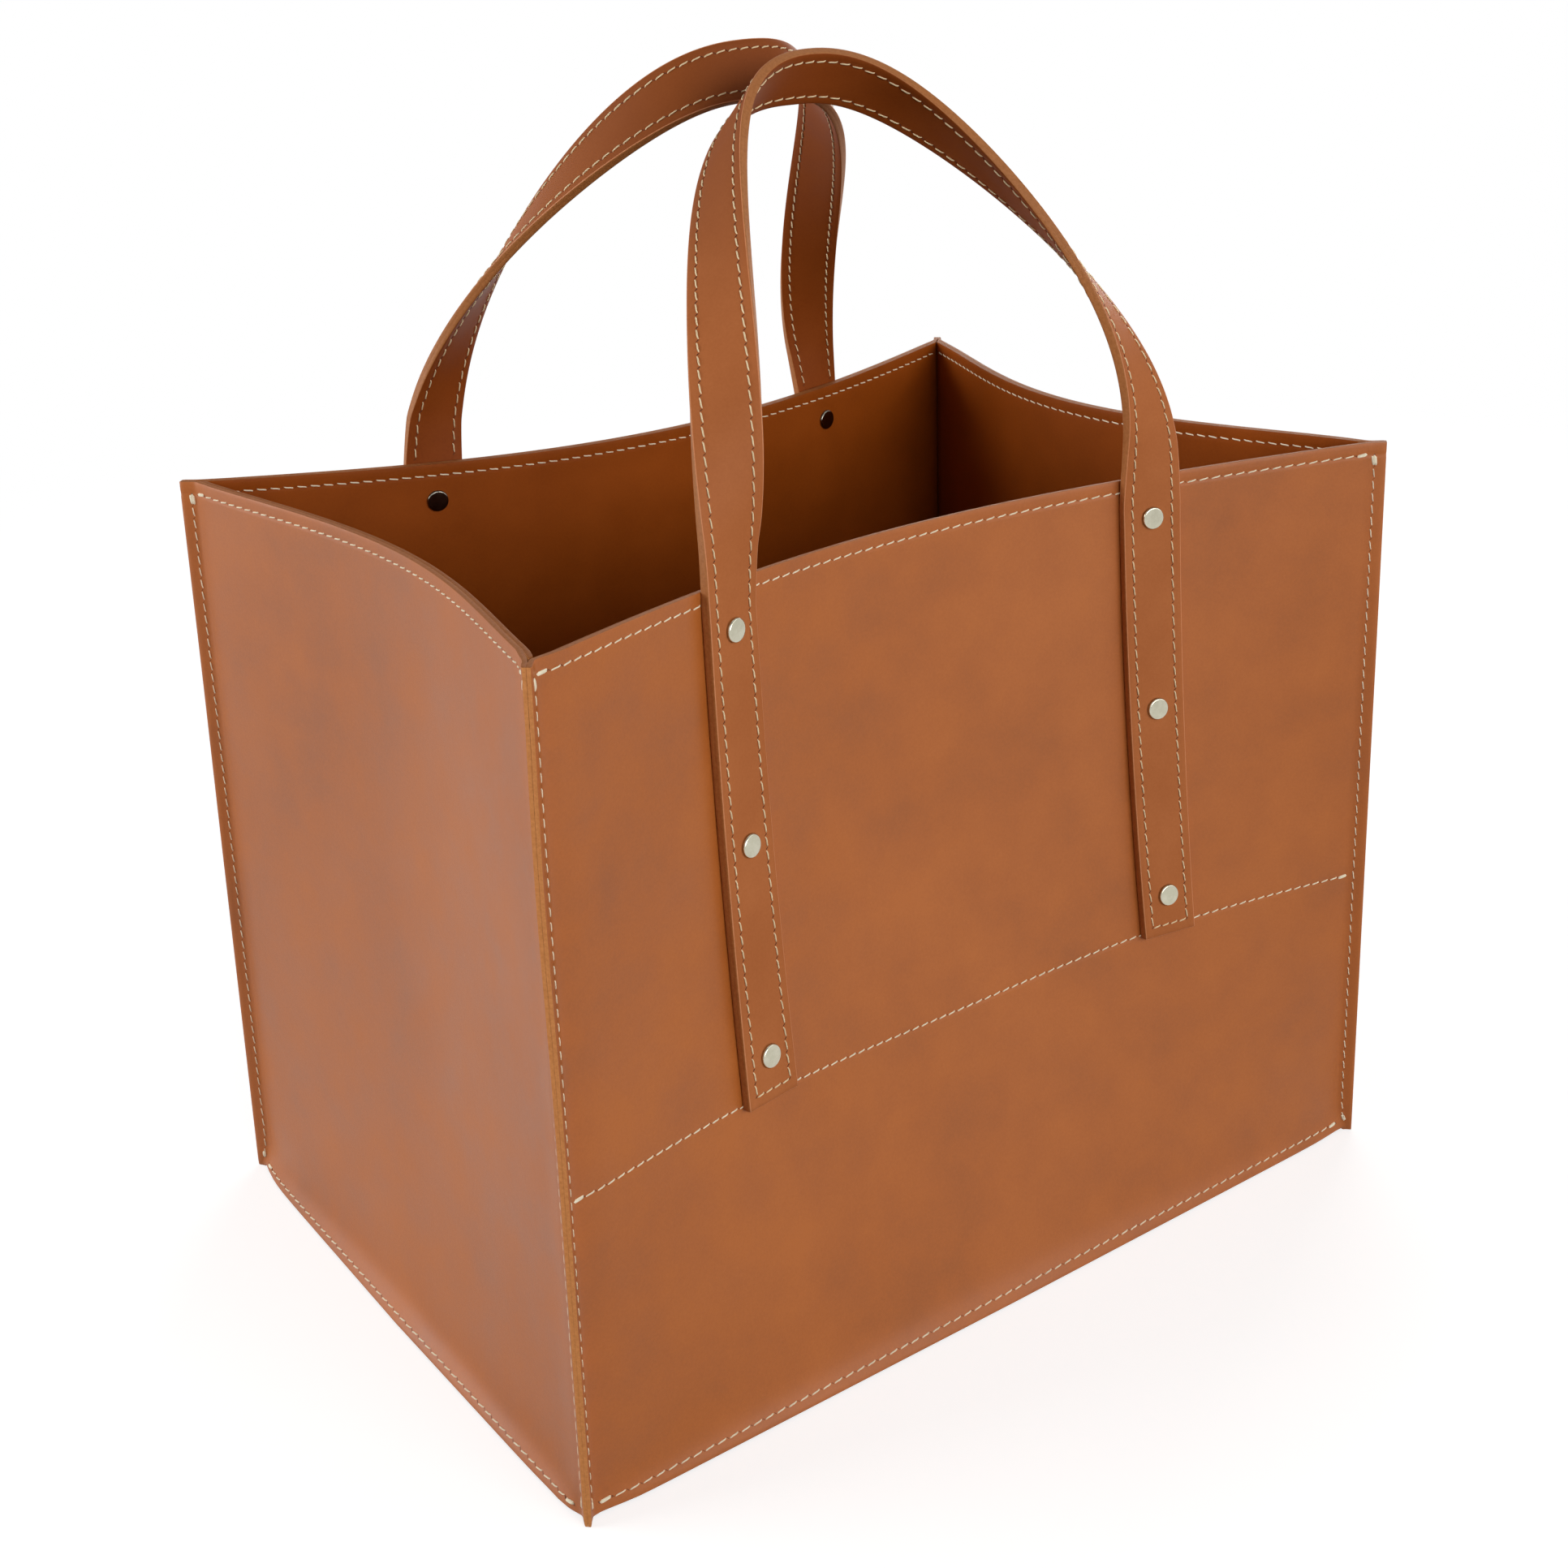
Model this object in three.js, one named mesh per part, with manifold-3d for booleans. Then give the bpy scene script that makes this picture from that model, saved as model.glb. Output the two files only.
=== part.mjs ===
// An open log holder in stitched leather. Four walls, drawn in at the rim, stand on a flat base.
// Each wall has an outer panel and a lining, and two riveted straps arch over the long walls.
// Millimetres, +Z up, the floor at z = 0, the long front wall towards -Y.
import * as THREE from 'three';
import { mergeVertices } from 'three/addons/utils/BufferGeometryUtils.js';
import Module from 'manifold-3d';

const wasm = await Module();
wasm.setup();

// Body, over the outer faces of the panels at the floor
const bodyLength = 432;
const bodyDepth = 304;
const bodyHeight = 350;

// How far the middle of each wall is drawn in at the rim, and how far its rim drops there
const frontBow = 55;
const backBow = 43;
const leftBow = 24;
const rightBow = 38.5;
const longRimDrop = 6.6;
const shortRimDrop = 1.9;
const bowLiftShare = 0.72;
const longEaseShare = 0.19;
const shortEaseShare = 0.48;

// Leather, board and the clearance between pieces that touch
const leather = 1.9;
const board = 3;
const gap = 0.3;

// Corner flanges stand out at half a right angle and the linings stop short of them
const flangeWidth = 7.5;
const liningInset = 8;

// Straps: width, distance between the two ends of one strap, how far an end runs down the wall,
// and how far the sling's edge stands above it
const strapWidth = 27;
const strapSpacing = 224;
const tailLength = 218;
const slingAboveTail = 7;

// The free arch of each strap: its rise above the rim, how far its top leans in over the bag,
// and how far its sides swell outwards and away from the bag
const frontArchRise = 174;
const frontArchLean = 96.5;
const frontSwellOut = 8;
const frontSwellForward = 13;
const backArchRise = 175;
const backArchLean = 111;
const backSwellOut = 2.5;
const backSwellForward = 8;

// Rivets
const rivetBelowRim = 18;
const rivetAboveTail = 21;
const rivetsPerTail = 3;
const capDiameter = 10;
const capHeight = 1.5;
const capEdge = 0.5;
const backCapDiameter = 9;
const backCapHeight = 1.3;
const postDiameter = 2.6;
const stemWall = 0.5;
const socketDepth = 4;
const socketFloor = 0.8;
const capFlatShare = 0.8;
const rivetSides = 10;
const overrun = 2;

// The curve of each arch: how its face tilts at the top, twists on the way down, and the powers
// that say how early it spreads, drops, straightens and turns
const archShapes = {
  front: {
    rise: frontArchRise,
    lean: frontArchLean,
    swellOut: frontSwellOut,
    swellForward: frontSwellForward,
    tilt: THREE.MathUtils.degToRad(54.5),
    twist: THREE.MathUtils.degToRad(-28),
    sidePower: 0.82,
    risePower: 1.6,
    leanPower: 2.63,
    turnPower: 0.76,
  },
  back: {
    rise: backArchRise,
    lean: backArchLean,
    swellOut: backSwellOut,
    swellForward: backSwellForward,
    tilt: THREE.MathUtils.degToRad(66.5),
    twist: THREE.MathUtils.degToRad(-18),
    sidePower: 0.74,
    risePower: 1.85,
    leanPower: 3.23,
    turnPower: 0.6,
  },
};
const archStationCount = 20;
const stationPower = 0.6;

// Facets of the walls: columns on each side of a strap, on half a short wall, and rows
const innerColumnCount = 3;
const endColumnCount = 3;
const shortWallColumnCount = 5;
const lowerRowCount = 3;
const upperRowCount = 5;

// Worked-out sizes
const wallThickness = 2 * leather + gap;
const strapMiddle = gap + leather + gap / 2;
const strapEdges = [-strapWidth / 2, strapWidth / 2];
const wallFoot = leather + gap;
const boardTop = wallFoot + board;
const slingFloor = boardTop + gap;
const tailHeight = bodyHeight - tailLength;
const slingHeight = tailHeight + slingAboveTail;

// Every wall is shaped in its own frame, x along the wall and -y outwards, and turned into place
const walls = {
  front: {
    strapped: true,
    turn: 0,
    half: bodyLength / 2,
    reach: bodyDepth / 2,
    bow: frontBow,
    rimDrop: longRimDrop,
    easeShare: longEaseShare,
  },
  right: {
    strapped: false,
    turn: Math.PI / 2,
    half: bodyDepth / 2,
    reach: bodyLength / 2,
    bow: rightBow,
    rimDrop: shortRimDrop,
    easeShare: shortEaseShare,
  },
  back: {
    strapped: true,
    turn: Math.PI,
    half: bodyLength / 2,
    reach: bodyDepth / 2,
    bow: backBow,
    rimDrop: longRimDrop,
    easeShare: longEaseShare,
  },
  left: {
    strapped: false,
    turn: -Math.PI / 2,
    half: bodyDepth / 2,
    reach: bodyLength / 2,
    bow: leftBow,
    rimDrop: shortRimDrop,
    easeShare: shortEaseShare,
  },
};

const materials = {
  leather: { color: 0xa8673f, roughness: 0.48, metalness: 0 },
  lining: { color: 0x5a2a10, roughness: 0.6, metalness: 0 },
  board: { color: 0x8a7458, roughness: 0.9, metalness: 0 },
  nickel: { color: 0xc9c3ba, roughness: 0.18, metalness: 1 },
};

function namedMesh(name, geometry, material) {
  geometry.computeVertexNormals();
  const mesh = new THREE.Mesh(geometry, new THREE.MeshStandardMaterial(materials[material]));
  mesh.name = name;
  return mesh;
}

// A closed sheet: pointAt(column, row, layer) gives its outer face (layer 0) and inner face (layer 1)
function sheetGeometry(columns, rows, pointAt) {
  const positions = [];
  const triangles = [];
  for (const layer of [0, 1]) {
    for (const row of rows) {
      for (const column of columns) {
        positions.push(...pointAt(column, row, layer).toArray());
      }
    }
  }
  const last = { column: columns.length - 1, row: rows.length - 1 };
  const index = (layer, row, column) => (layer * rows.length + row) * columns.length + column;
  const quad = (a, b, c, d) => triangles.push(a, b, c, a, c, d);
  for (let row = 0; row < last.row; row += 1) {
    for (let column = 0; column < last.column; column += 1) {
      const outer = [[row, column], [row, column + 1], [row + 1, column + 1], [row + 1, column]];
      quad(...outer.map(([r, c]) => index(0, r, c)));
      triangles.push(index(1, row, column), index(1, row + 1, column + 1), index(1, row, column + 1));
      triangles.push(index(1, row, column), index(1, row + 1, column), index(1, row + 1, column + 1));
    }
    const up = row + 1;
    quad(index(0, up, 0), index(1, up, 0), index(1, row, 0), index(0, row, 0));
    const edge = last.column;
    quad(index(0, row, edge), index(1, row, edge), index(1, up, edge), index(0, up, edge));
  }
  for (let column = 0; column < last.column; column += 1) {
    const next = column + 1;
    quad(index(0, 0, column), index(1, 0, column), index(1, 0, next), index(0, 0, next));
    const top = last.row;
    quad(index(0, top, next), index(1, top, next), index(1, top, column), index(0, top, column));
  }
  const geometry = new THREE.BufferGeometry();
  geometry.setAttribute('position', new THREE.Float32BufferAttribute(positions, 3));
  geometry.setIndex(triangles);
  return geometry;
}

function toSolid(geometry) {
  const bare = geometry.clone();
  bare.deleteAttribute('normal');
  bare.deleteAttribute('uv');
  const merged = mergeVertices(bare);
  return new wasm.Manifold(new wasm.Mesh({
    numProp: 3,
    vertProperties: new Float32Array(merged.attributes.position.array),
    triVerts: new Uint32Array(merged.index.array),
  }));
}

function toGeometry(solid) {
  const mesh = solid.getMesh();
  const geometry = new THREE.BufferGeometry();
  geometry.setAttribute('position', new THREE.BufferAttribute(mesh.vertProperties, 3));
  geometry.setIndex(new THREE.BufferAttribute(mesh.triVerts, 1));
  return geometry;
}

// Where the flat of a panel ends and its flange turns out
function creaseAt(wall) {
  return wall.half - (leather + gap / 2) * Math.SQRT2;
}

// The outer face: drawn in by bow * (1 - a^2)(1 - ease a^2) * h (1 + lift (1 - h)),
// with a the share of the way to the crease and h the share of the height
function wallSurface(wall, x, height) {
  const across = x / creaseAt(wall);
  const up = height / bodyHeight;
  const spread = (1 - across ** 2) * (1 - wall.easeShare * across ** 2);
  const inward = wall.bow * spread * up * (1 + bowLiftShare * (1 - up));
  const fall = wall.rimDrop * spread * up ** 2;
  return new THREE.Vector3(x, inward - wall.reach, height - fall);
}

function wallNormal(wall, x, height) {
  const along = wallSurface(wall, x + gap, height).sub(wallSurface(wall, x - gap, height));
  const upwards = wallSurface(wall, x, height + gap).sub(wallSurface(wall, x, height - gap));
  return along.cross(upwards).normalize();
}

// A point at a distance out from the wall's outer face, or inside it where the distance is negative.
// The foot of every sheet is cut level.
function wallPoint(wall, x, height, out) {
  const point = wallSurface(wall, x, height).addScaledVector(wallNormal(wall, x, height), out);
  point.z = Math.max(point.z, wallFoot);
  return point;
}

// The same for an outer panel, whose columns past the crease lie in its flange
function panelPoint(wall, x, height, out) {
  const crease = creaseAt(wall);
  const beyond = Math.abs(x) - crease;
  if (beyond < 0) {
    return wallPoint(wall, x, height, out);
  }
  const side = Math.sign(x);
  const flangeRun = new THREE.Vector3(side, -1, 0).normalize();
  const flangeNormal = new THREE.Vector3(-side, -1, 0).normalize();
  const root = wallSurface(wall, side * crease, height);
  if (beyond > 0) {
    return root.addScaledVector(flangeRun, beyond).addScaledVector(flangeNormal, out);
  }
  const normal = wallNormal(wall, side * crease, height);
  const mitre = normal.clone().add(flangeNormal).divideScalar(1 + normal.dot(flangeNormal));
  return root.addScaledVector(mitre, out);
}

function evenSteps(from, to, count) {
  return Array.from({ length: count + 1 }, (_, i) => from + (to - from) * i / count);
}

// Columns of a wall from its middle to the end of its lining, and the same mirrored.
// On a strapped wall the edges and the middle of the strap lie on columns.
function liningColumns(wall) {
  const end = creaseAt(wall) - liningInset;
  const strapIn = (strapSpacing - strapWidth) / 2;
  const strapOut = (strapSpacing + strapWidth) / 2;
  const half = wall.strapped
    ? [
      ...evenSteps(0, strapIn, innerColumnCount).slice(1),
      strapSpacing / 2,
      ...evenSteps(strapOut, end, endColumnCount),
    ]
    : evenSteps(0, end, shortWallColumnCount).slice(1);
  return [...half.map((x) => -x).reverse(), 0, ...half];
}

function panelColumns(wall) {
  const crease = creaseAt(wall);
  const tip = crease + flangeWidth;
  return [-tip, -crease, ...liningColumns(wall), crease, tip];
}

// Rows below the strap ends, and rows that the strap ends share with the wall
const lowerRows = evenSteps(wallFoot, tailHeight, lowerRowCount).slice(0, -1);
const upperRows = evenSteps(tailHeight, bodyHeight, upperRowCount);
const wallRows = [...lowerRows, ...upperRows];
const tailRows = [...upperRows.slice(0, -1), bodyHeight - gap];

function rivetHeights() {
  return evenSteps(bodyHeight - rivetBelowRim, tailHeight + rivetAboveTail, rivetsPerTail - 1);
}

// Stands a turned part at its place on the wall with its axis square to the wall
function placeOnWall(mesh, wall, x, height) {
  mesh.position.copy(wallSurface(wall, x, height));
  mesh.quaternion.setFromUnitVectors(new THREE.Vector3(0, 1, 0), wallNormal(wall, x, height));
  return mesh;
}

const stemRadius = postDiameter / 2 + gap + stemWall;
const holeRadius = stemRadius + gap;
const stackOut = strapMiddle * 2;

// Cuts the rivet holes at the given places along a wall
function drilled(geometry, wall, places) {
  if (places.length === 0) {
    return geometry;
  }
  let solid = toSolid(geometry);
  for (const x of places) {
    for (const height of rivetHeights()) {
      const depth = 2 * (wallThickness + stackOut + overrun);
      const drill = new THREE.Mesh(new THREE.CylinderGeometry(holeRadius, holeRadius, depth, rivetSides));
      placeOnWall(drill, wall, x, height);
      drill.updateMatrix();
      solid = solid.subtract(toSolid(drill.geometry.applyMatrix4(drill.matrix)));
    }
  }
  return toGeometry(solid);
}

function outerPanel(name, wall, rivetPlaces) {
  const geometry = sheetGeometry(panelColumns(wall), wallRows, (x, height, layer) => (
    panelPoint(wall, x, height, -layer * leather)
  ));
  return namedMesh(name, drilled(geometry, wall, rivetPlaces), 'leather');
}

function liningPanel(name, wall, rivetPlaces) {
  const geometry = sheetGeometry(liningColumns(wall), wallRows, (x, height, layer) => (
    wallPoint(wall, x, height, -leather - gap - layer * leather)
  ));
  return namedMesh(name, drilled(geometry, wall, rivetPlaces), 'lining');
}

// One ply of a strap end, lying on the wall; ply 0 is next to the wall and ply 1 on top of it
function strapTail(name, wall, x, ply) {
  const columns = [x - strapWidth / 2, x, x + strapWidth / 2];
  const top = gap + leather + ply * (leather + gap);
  const geometry = sheetGeometry(columns, tailRows, (column, height, layer) => (
    wallPoint(wall, column, height, top - layer * leather)
  ));
  return namedMesh(name, drilled(geometry, wall, [x]), 'leather');
}

// The rim line on which a strap turns: level, above the higher edge of the strap end
function hingeHeight(wall) {
  return wallSurface(wall, (strapSpacing + strapWidth) / 2, bodyHeight).z;
}

// The strap's middle line, angle 0 at the top of the arch and a quarter turn at the rim
function strapCurve(wall, shape, angle) {
  const sine = Math.sin(angle);
  const cosine = Math.max(Math.cos(angle), 0);
  const swell = (2 * sine * cosine * sine) ** 2;
  const end = wallPoint(wall, strapSpacing / 2, bodyHeight, strapMiddle);
  return new THREE.Vector3(
    end.x * sine ** shape.sidePower + shape.swellOut * swell,
    end.y + shape.lean * cosine ** shape.leanPower - shape.swellForward * swell,
    hingeHeight(wall) + shape.rise * cosine ** shape.risePower,
  );
}

// Place, width direction and outward direction of the strap at one station of the arch
function strapStation(wall, shape, station) {
  const share = Math.abs(station) / archStationCount;
  const quarter = Math.PI / 2;
  const angle = quarter * (1 - (1 - share) ** stationPower);
  const step = quarter / archStationCount ** 2;
  const along = strapCurve(wall, shape, angle + step).sub(strapCurve(wall, shape, angle - step));
  if (share === 1) {
    along.set(0, 0, -1);
  }
  if (share === 0) {
    along.set(1, 0, 0);
  }
  along.normalize();
  const sine = Math.sin(angle);
  const swell = (2 * sine * Math.cos(angle) * sine) ** 2;
  const rimNormal = wallNormal(wall, strapSpacing / 2, bodyHeight);
  const rimTurn = Math.atan2(-rimNormal.x, -rimNormal.y);
  const turn = Math.PI - shape.tilt + (quarter + shape.tilt + rimTurn) * sine ** (2 * shape.turnPower)
    + shape.twist * swell;
  const depthward = new THREE.Vector3(0, 1, 0);
  depthward.addScaledVector(along, -along.y).normalize();
  const sideways = along.clone().cross(depthward);
  const across = depthward.multiplyScalar(Math.cos(turn)).addScaledVector(sideways, Math.sin(turn));
  const out = across.clone().cross(along);
  const place = strapCurve(wall, shape, angle);
  if (station < 0) {
    const mirror = new THREE.Vector3(-1, 1, 1);
    for (const vector of [place, across, out]) {
      vector.multiply(mirror);
    }
  }
  return { place, across, out };
}

// One ply of the free arch; ply 0 is inside and ply 1 outside
function strapLoop(name, wall, shape, ply) {
  const stations = [];
  for (let station = -archStationCount; station <= archStationCount; station += 1) {
    stations.push(strapStation(wall, shape, station));
  }
  const top = ply * (leather + gap) - gap / 2;
  const geometry = sheetGeometry(strapEdges, stations, (offset, station, layer) => (
    station.place.clone()
      .addScaledVector(station.across, offset)
      .addScaledVector(station.out, top - layer * leather)
  ));
  return namedMesh(name, geometry, 'leather');
}

function turnedPart(name, profile) {
  return namedMesh(name, new THREE.LatheGeometry(profile, rivetSides), 'nickel');
}

// A flat-domed head with a solid post that ends inside the back cap's socket
function rivetCap(name, wall, x, height) {
  const under = stackOut + gap;
  const top = under + capHeight;
  const radius = capDiameter / 2;
  const postEnd = socketFloor - wallThickness + gap;
  const profile = [
    new THREE.Vector2(0, postEnd),
    new THREE.Vector2(postDiameter / 2, postEnd),
    new THREE.Vector2(postDiameter / 2, under),
    new THREE.Vector2(radius, under),
    new THREE.Vector2(radius, under + capEdge),
    new THREE.Vector2(radius * capFlatShare, top - capEdge / 2),
    new THREE.Vector2(0, top),
  ];
  return placeOnWall(turnedPart(name, profile), wall, x, height);
}

// A flat cap on the lining with a hollow stem in the hole, open towards the post
function rivetBack(name, wall, x, height) {
  const seat = -wallThickness - gap;
  const bottom = seat - backCapHeight;
  const radius = backCapDiameter / 2;
  const socketBottom = socketFloor - wallThickness;
  const profile = [
    new THREE.Vector2(0, bottom),
    new THREE.Vector2(radius * capFlatShare, bottom),
    new THREE.Vector2(radius, seat - capEdge),
    new THREE.Vector2(radius, seat),
    new THREE.Vector2(stemRadius, seat),
    new THREE.Vector2(stemRadius, socketBottom + socketDepth),
    new THREE.Vector2(stemRadius - stemWall, socketBottom + socketDepth),
    new THREE.Vector2(stemRadius - stemWall, socketBottom),
    new THREE.Vector2(0, socketBottom),
  ];
  return placeOnWall(turnedPart(name, profile), wall, x, height);
}

// Everything sewn or riveted to one long wall, and its strap
function longWall(group, side) {
  const wall = walls[side];
  const places = [-strapSpacing / 2, strapSpacing / 2];
  group.add(outerPanel(`outer_${side}_panel`, wall, places));
  group.add(liningPanel(`lining_${side}`, wall, places));
  ['inner', 'outer'].forEach((layer, ply) => {
    group.add(strapLoop(`${side}_strap_${layer}_loop`, wall, archShapes[side], ply));
  });
  for (const x of places) {
    const hand = x * Math.cos(wall.turn) < 0 ? 'left' : 'right';
    ['inner', 'outer'].forEach((layer, ply) => {
      group.add(strapTail(`${side}_${hand}_tail_${layer}`, wall, x, ply));
    });
    rivetHeights().forEach((height, i) => {
      group.add(rivetCap(`${side}_${hand}_rivet_${i + 1}_cap`, wall, x, height));
      group.add(rivetBack(`${side}_${hand}_rivet_${i + 1}_back`, wall, x, height));
    });
  }
}

function shortWall(group, side) {
  group.add(outerPanel(`outer_${side}_panel`, walls[side], []));
  group.add(liningPanel(`lining_${side}`, walls[side], []));
}

function basePanel() {
  const geometry = new THREE.BoxGeometry(bodyLength, bodyDepth, leather);
  const mesh = namedMesh('base_panel', geometry, 'leather');
  mesh.position.z = leather / 2;
  return mesh;
}

// How far from the middle of the bag the inner face of a lining is, in the middle of its wall
function innerReach(wall, height) {
  return -wallPoint(wall, 0, height, -wallThickness).y;
}

// A stiffener between the base and the sling, as large as the linings leave room for
function baseBoard() {
  const ends = Object.fromEntries(Object.entries(walls).map(([side, wall]) => (
    [side, innerReach(wall, boardTop) - gap]
  )));
  const geometry = new THREE.BoxGeometry(ends.right + ends.left, ends.back + ends.front, board);
  const mesh = namedMesh('base_board', geometry, 'board');
  mesh.position.set((ends.right - ends.left) / 2, (ends.back - ends.front) / 2, wallFoot + board / 2);
  return mesh;
}

// A U of leather: down the back lining, over the board and up the front lining to the seam
function baseSling() {
  const floorTop = slingFloor + leather;
  const ends = [-innerReach(walls.left, floorTop) + gap, innerReach(walls.right, floorTop) - gap];
  const columns = [ends[0], ...liningColumns(walls.front), ends[1]];
  const sharedHeights = wallRows.filter((height) => height > floorTop && height < slingHeight);
  const heights = [slingHeight, ...sharedHeights.reverse(), slingFloor];
  const rows = [
    ...heights.map((height) => ({ wall: walls.back, height })),
    ...heights.toReversed().map((height) => ({ wall: walls.front, height })),
  ];
  const geometry = sheetGeometry(columns, rows, (x, { wall, height }, layer) => {
    const facing = Math.cos(wall.turn);
    const lift = height === slingFloor ? layer * leather : 0;
    const point = wallPoint(wall, x * facing, height + lift, -wallThickness - gap - layer * leather);
    point.z = height === slingFloor ? height + lift : point.z;
    return point.set(point.x * facing, point.y * facing, point.z);
  });
  return namedMesh('base_sling', geometry, 'lining');
}

const logHolder = new THREE.Group();
logHolder.add(basePanel(), baseBoard(), baseSling());
for (const [side, wall] of Object.entries(walls)) {
  const group = new THREE.Group();
  group.rotation.z = wall.turn;
  if (wall.strapped) {
    longWall(group, side);
  } else {
    shortWall(group, side);
  }
  logHolder.add(group);
}

export default logHolder;
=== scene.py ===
# Leather log holder: a bowed, open bag of stitched leather with two riveted carrying straps.
# Everything is in metres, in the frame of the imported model: front wall towards -Y, floor at z = 0.
import bpy
import numpy as np
from mathutils import Matrix, Vector


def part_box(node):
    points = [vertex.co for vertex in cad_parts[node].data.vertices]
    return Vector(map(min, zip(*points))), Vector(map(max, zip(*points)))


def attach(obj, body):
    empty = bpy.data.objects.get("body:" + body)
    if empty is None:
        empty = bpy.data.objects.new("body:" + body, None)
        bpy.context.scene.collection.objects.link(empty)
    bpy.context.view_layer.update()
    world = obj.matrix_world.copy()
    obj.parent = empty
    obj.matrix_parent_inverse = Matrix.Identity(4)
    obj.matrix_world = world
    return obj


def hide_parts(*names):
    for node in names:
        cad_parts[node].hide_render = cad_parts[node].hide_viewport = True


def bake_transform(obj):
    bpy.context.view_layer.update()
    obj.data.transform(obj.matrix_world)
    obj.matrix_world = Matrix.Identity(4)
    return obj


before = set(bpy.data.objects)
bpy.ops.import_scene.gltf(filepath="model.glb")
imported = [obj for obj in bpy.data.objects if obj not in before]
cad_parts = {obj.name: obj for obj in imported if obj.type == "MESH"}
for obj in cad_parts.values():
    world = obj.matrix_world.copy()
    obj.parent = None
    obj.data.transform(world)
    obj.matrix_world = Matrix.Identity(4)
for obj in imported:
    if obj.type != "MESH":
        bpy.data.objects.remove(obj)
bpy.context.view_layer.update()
mm = 0.001
print("frame loaded:", len(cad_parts), "nodes")

# sizes of the leather body, the same as the solids'
bag = {
    "length": 432 * mm, "depth": 304 * mm, "height": 350 * mm,
    "leather": 1.9 * mm,       # one ply
    "gap": 0.3 * mm,           # between two plies
    "flange": 7.5 * mm,
    "fold": 1.6 * mm,          # height at which the wall turns under
    "under": 2.5 * mm,         # how far the turn runs under the wall
    "endFloor": 2.75 * mm,     # how far an end's leather runs on under the bag
    "lift": 0.72,
    "rimStitch": 5.5 * mm,     # stitch line below the rim
}
rimLine = bag["height"] - bag["rimStitch"]

def wallSizes(turn, long, deep, bow, drop, ease, lip, foldStitch):
    # lip is how far the pinched fold at the floor stands out, foldStitch its stitch line's height
    return {"turn": turn, "half": long / 2, "reach": deep / 2, "bow": bow * mm, "drop": drop * mm,
            "ease": ease, "lip": lip * mm, "foldStitch": foldStitch * mm}

walls = {
    "front": wallSizes(0, bag["length"], bag["depth"], 55, 6.6, 0.19, 4.6, 4.8),
    "right": wallSizes(np.pi / 2, bag["depth"], bag["length"], 38.5, 1.9, 0.48, 7.6, 3.5),
    "back": wallSizes(np.pi, bag["length"], bag["depth"], 43, 6.6, 0.19, 4.6, 4.8),
    "left": wallSizes(-np.pi / 2, bag["depth"], bag["length"], 24, 1.9, 0.48, 7.6, 3.5),
}


# small tools for arrays of points
def normalized(v):
    return v / np.maximum(np.linalg.norm(v, axis=-1, keepdims=True), 1e-12)

def turned(points, angle):
    # rotation about the z axis: x cos - y sin, x sin + y cos
    c, s = np.cos(angle), np.sin(angle)
    x, y, z = points[..., 0], points[..., 1], points[..., 2]
    return np.stack([x * c - y * s, x * s + y * c, z], -1)

def quadratic(a, b, c, t):
    # a curve from a to c with its corner at b: (1 - t)^2 a + 2 t (1 - t) b + t^2 c
    return (1 - t) ** 2 * a + 2 * t * (1 - t) * b + t ** 2 * c

def runAlong(line):
    # the distance from a line's first point to each of its points
    return np.concatenate([[0], np.cumsum(np.linalg.norm(np.diff(line, axis=0), axis=1))])

def between(first, last, steps):
    # rows of points evenly between two rows
    share = np.linspace(0, 1, steps + 1)[1:-1, None, None]
    return first * (1 - share) + last * share

def around(sides):
    return np.arange(sides) / sides * 2 * np.pi

def refined(start, stop, step, lines, reach=3.5 * mm, fine=0.6 * mm):
    # evenly spaced values, with finer ones within reach of each line
    n = max(int(round((stop - start) / step)), 1)
    values = [np.linspace(start, stop, n + 1)]
    for line in lines:
        k = int(round(2 * reach / fine))
        near = np.linspace(line - reach, line + reach, k + 1)
        values.append(near[(near > start) & (near < stop)])
    values = np.sort(np.concatenate(values))
    crowded = fine * 0.45
    keep = np.concatenate([[True], np.diff(values) > crowded])
    keep[-1] = True
    values = values[keep]
    return np.delete(values, -2) if values[-1] - values[-2] < crowded else values

def gridQuads(rows, columns, mask=None):
    # quads of a grid of points, row by row; mask says which cells are there
    r, c = np.meshgrid(np.arange(rows - 1), np.arange(columns - 1), indexing="ij")
    if mask is not None:
        r, c = r[mask], c[mask]
    a = (r * columns + c).ravel()
    return np.stack([a, a + 1, a + 1 + columns, a + columns], 1)

def tubeQuads(rings, sides):
    # quads round a tube, ring by ring
    i, j = np.meshgrid(np.arange(rings - 1), np.arange(sides), indexing="ij")
    a, b = i * sides + j, i * sides + (j + 1) % sides
    return np.stack([a, b, b + sides, a + sides], -1).reshape(-1, 4)

def copied(one, count, size):
    # the quads of one small mesh of size points, for count of them in a row
    return (one[None] + (np.arange(count) * size)[:, None, None]).reshape(-1, 4)

def facingOut(points, quads):
    # the quads of a closed solid, turned over where its volume comes out negative
    a, b, c, d = ((points - points.mean(0))[quads[:, i]] for i in range(4))
    volume = (np.einsum("ij,ij->i", a, np.cross(b, c)) + np.einsum("ij,ij->i", a, np.cross(c, d))).sum()
    return quads if volume > 0 else quads[:, ::-1]

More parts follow.
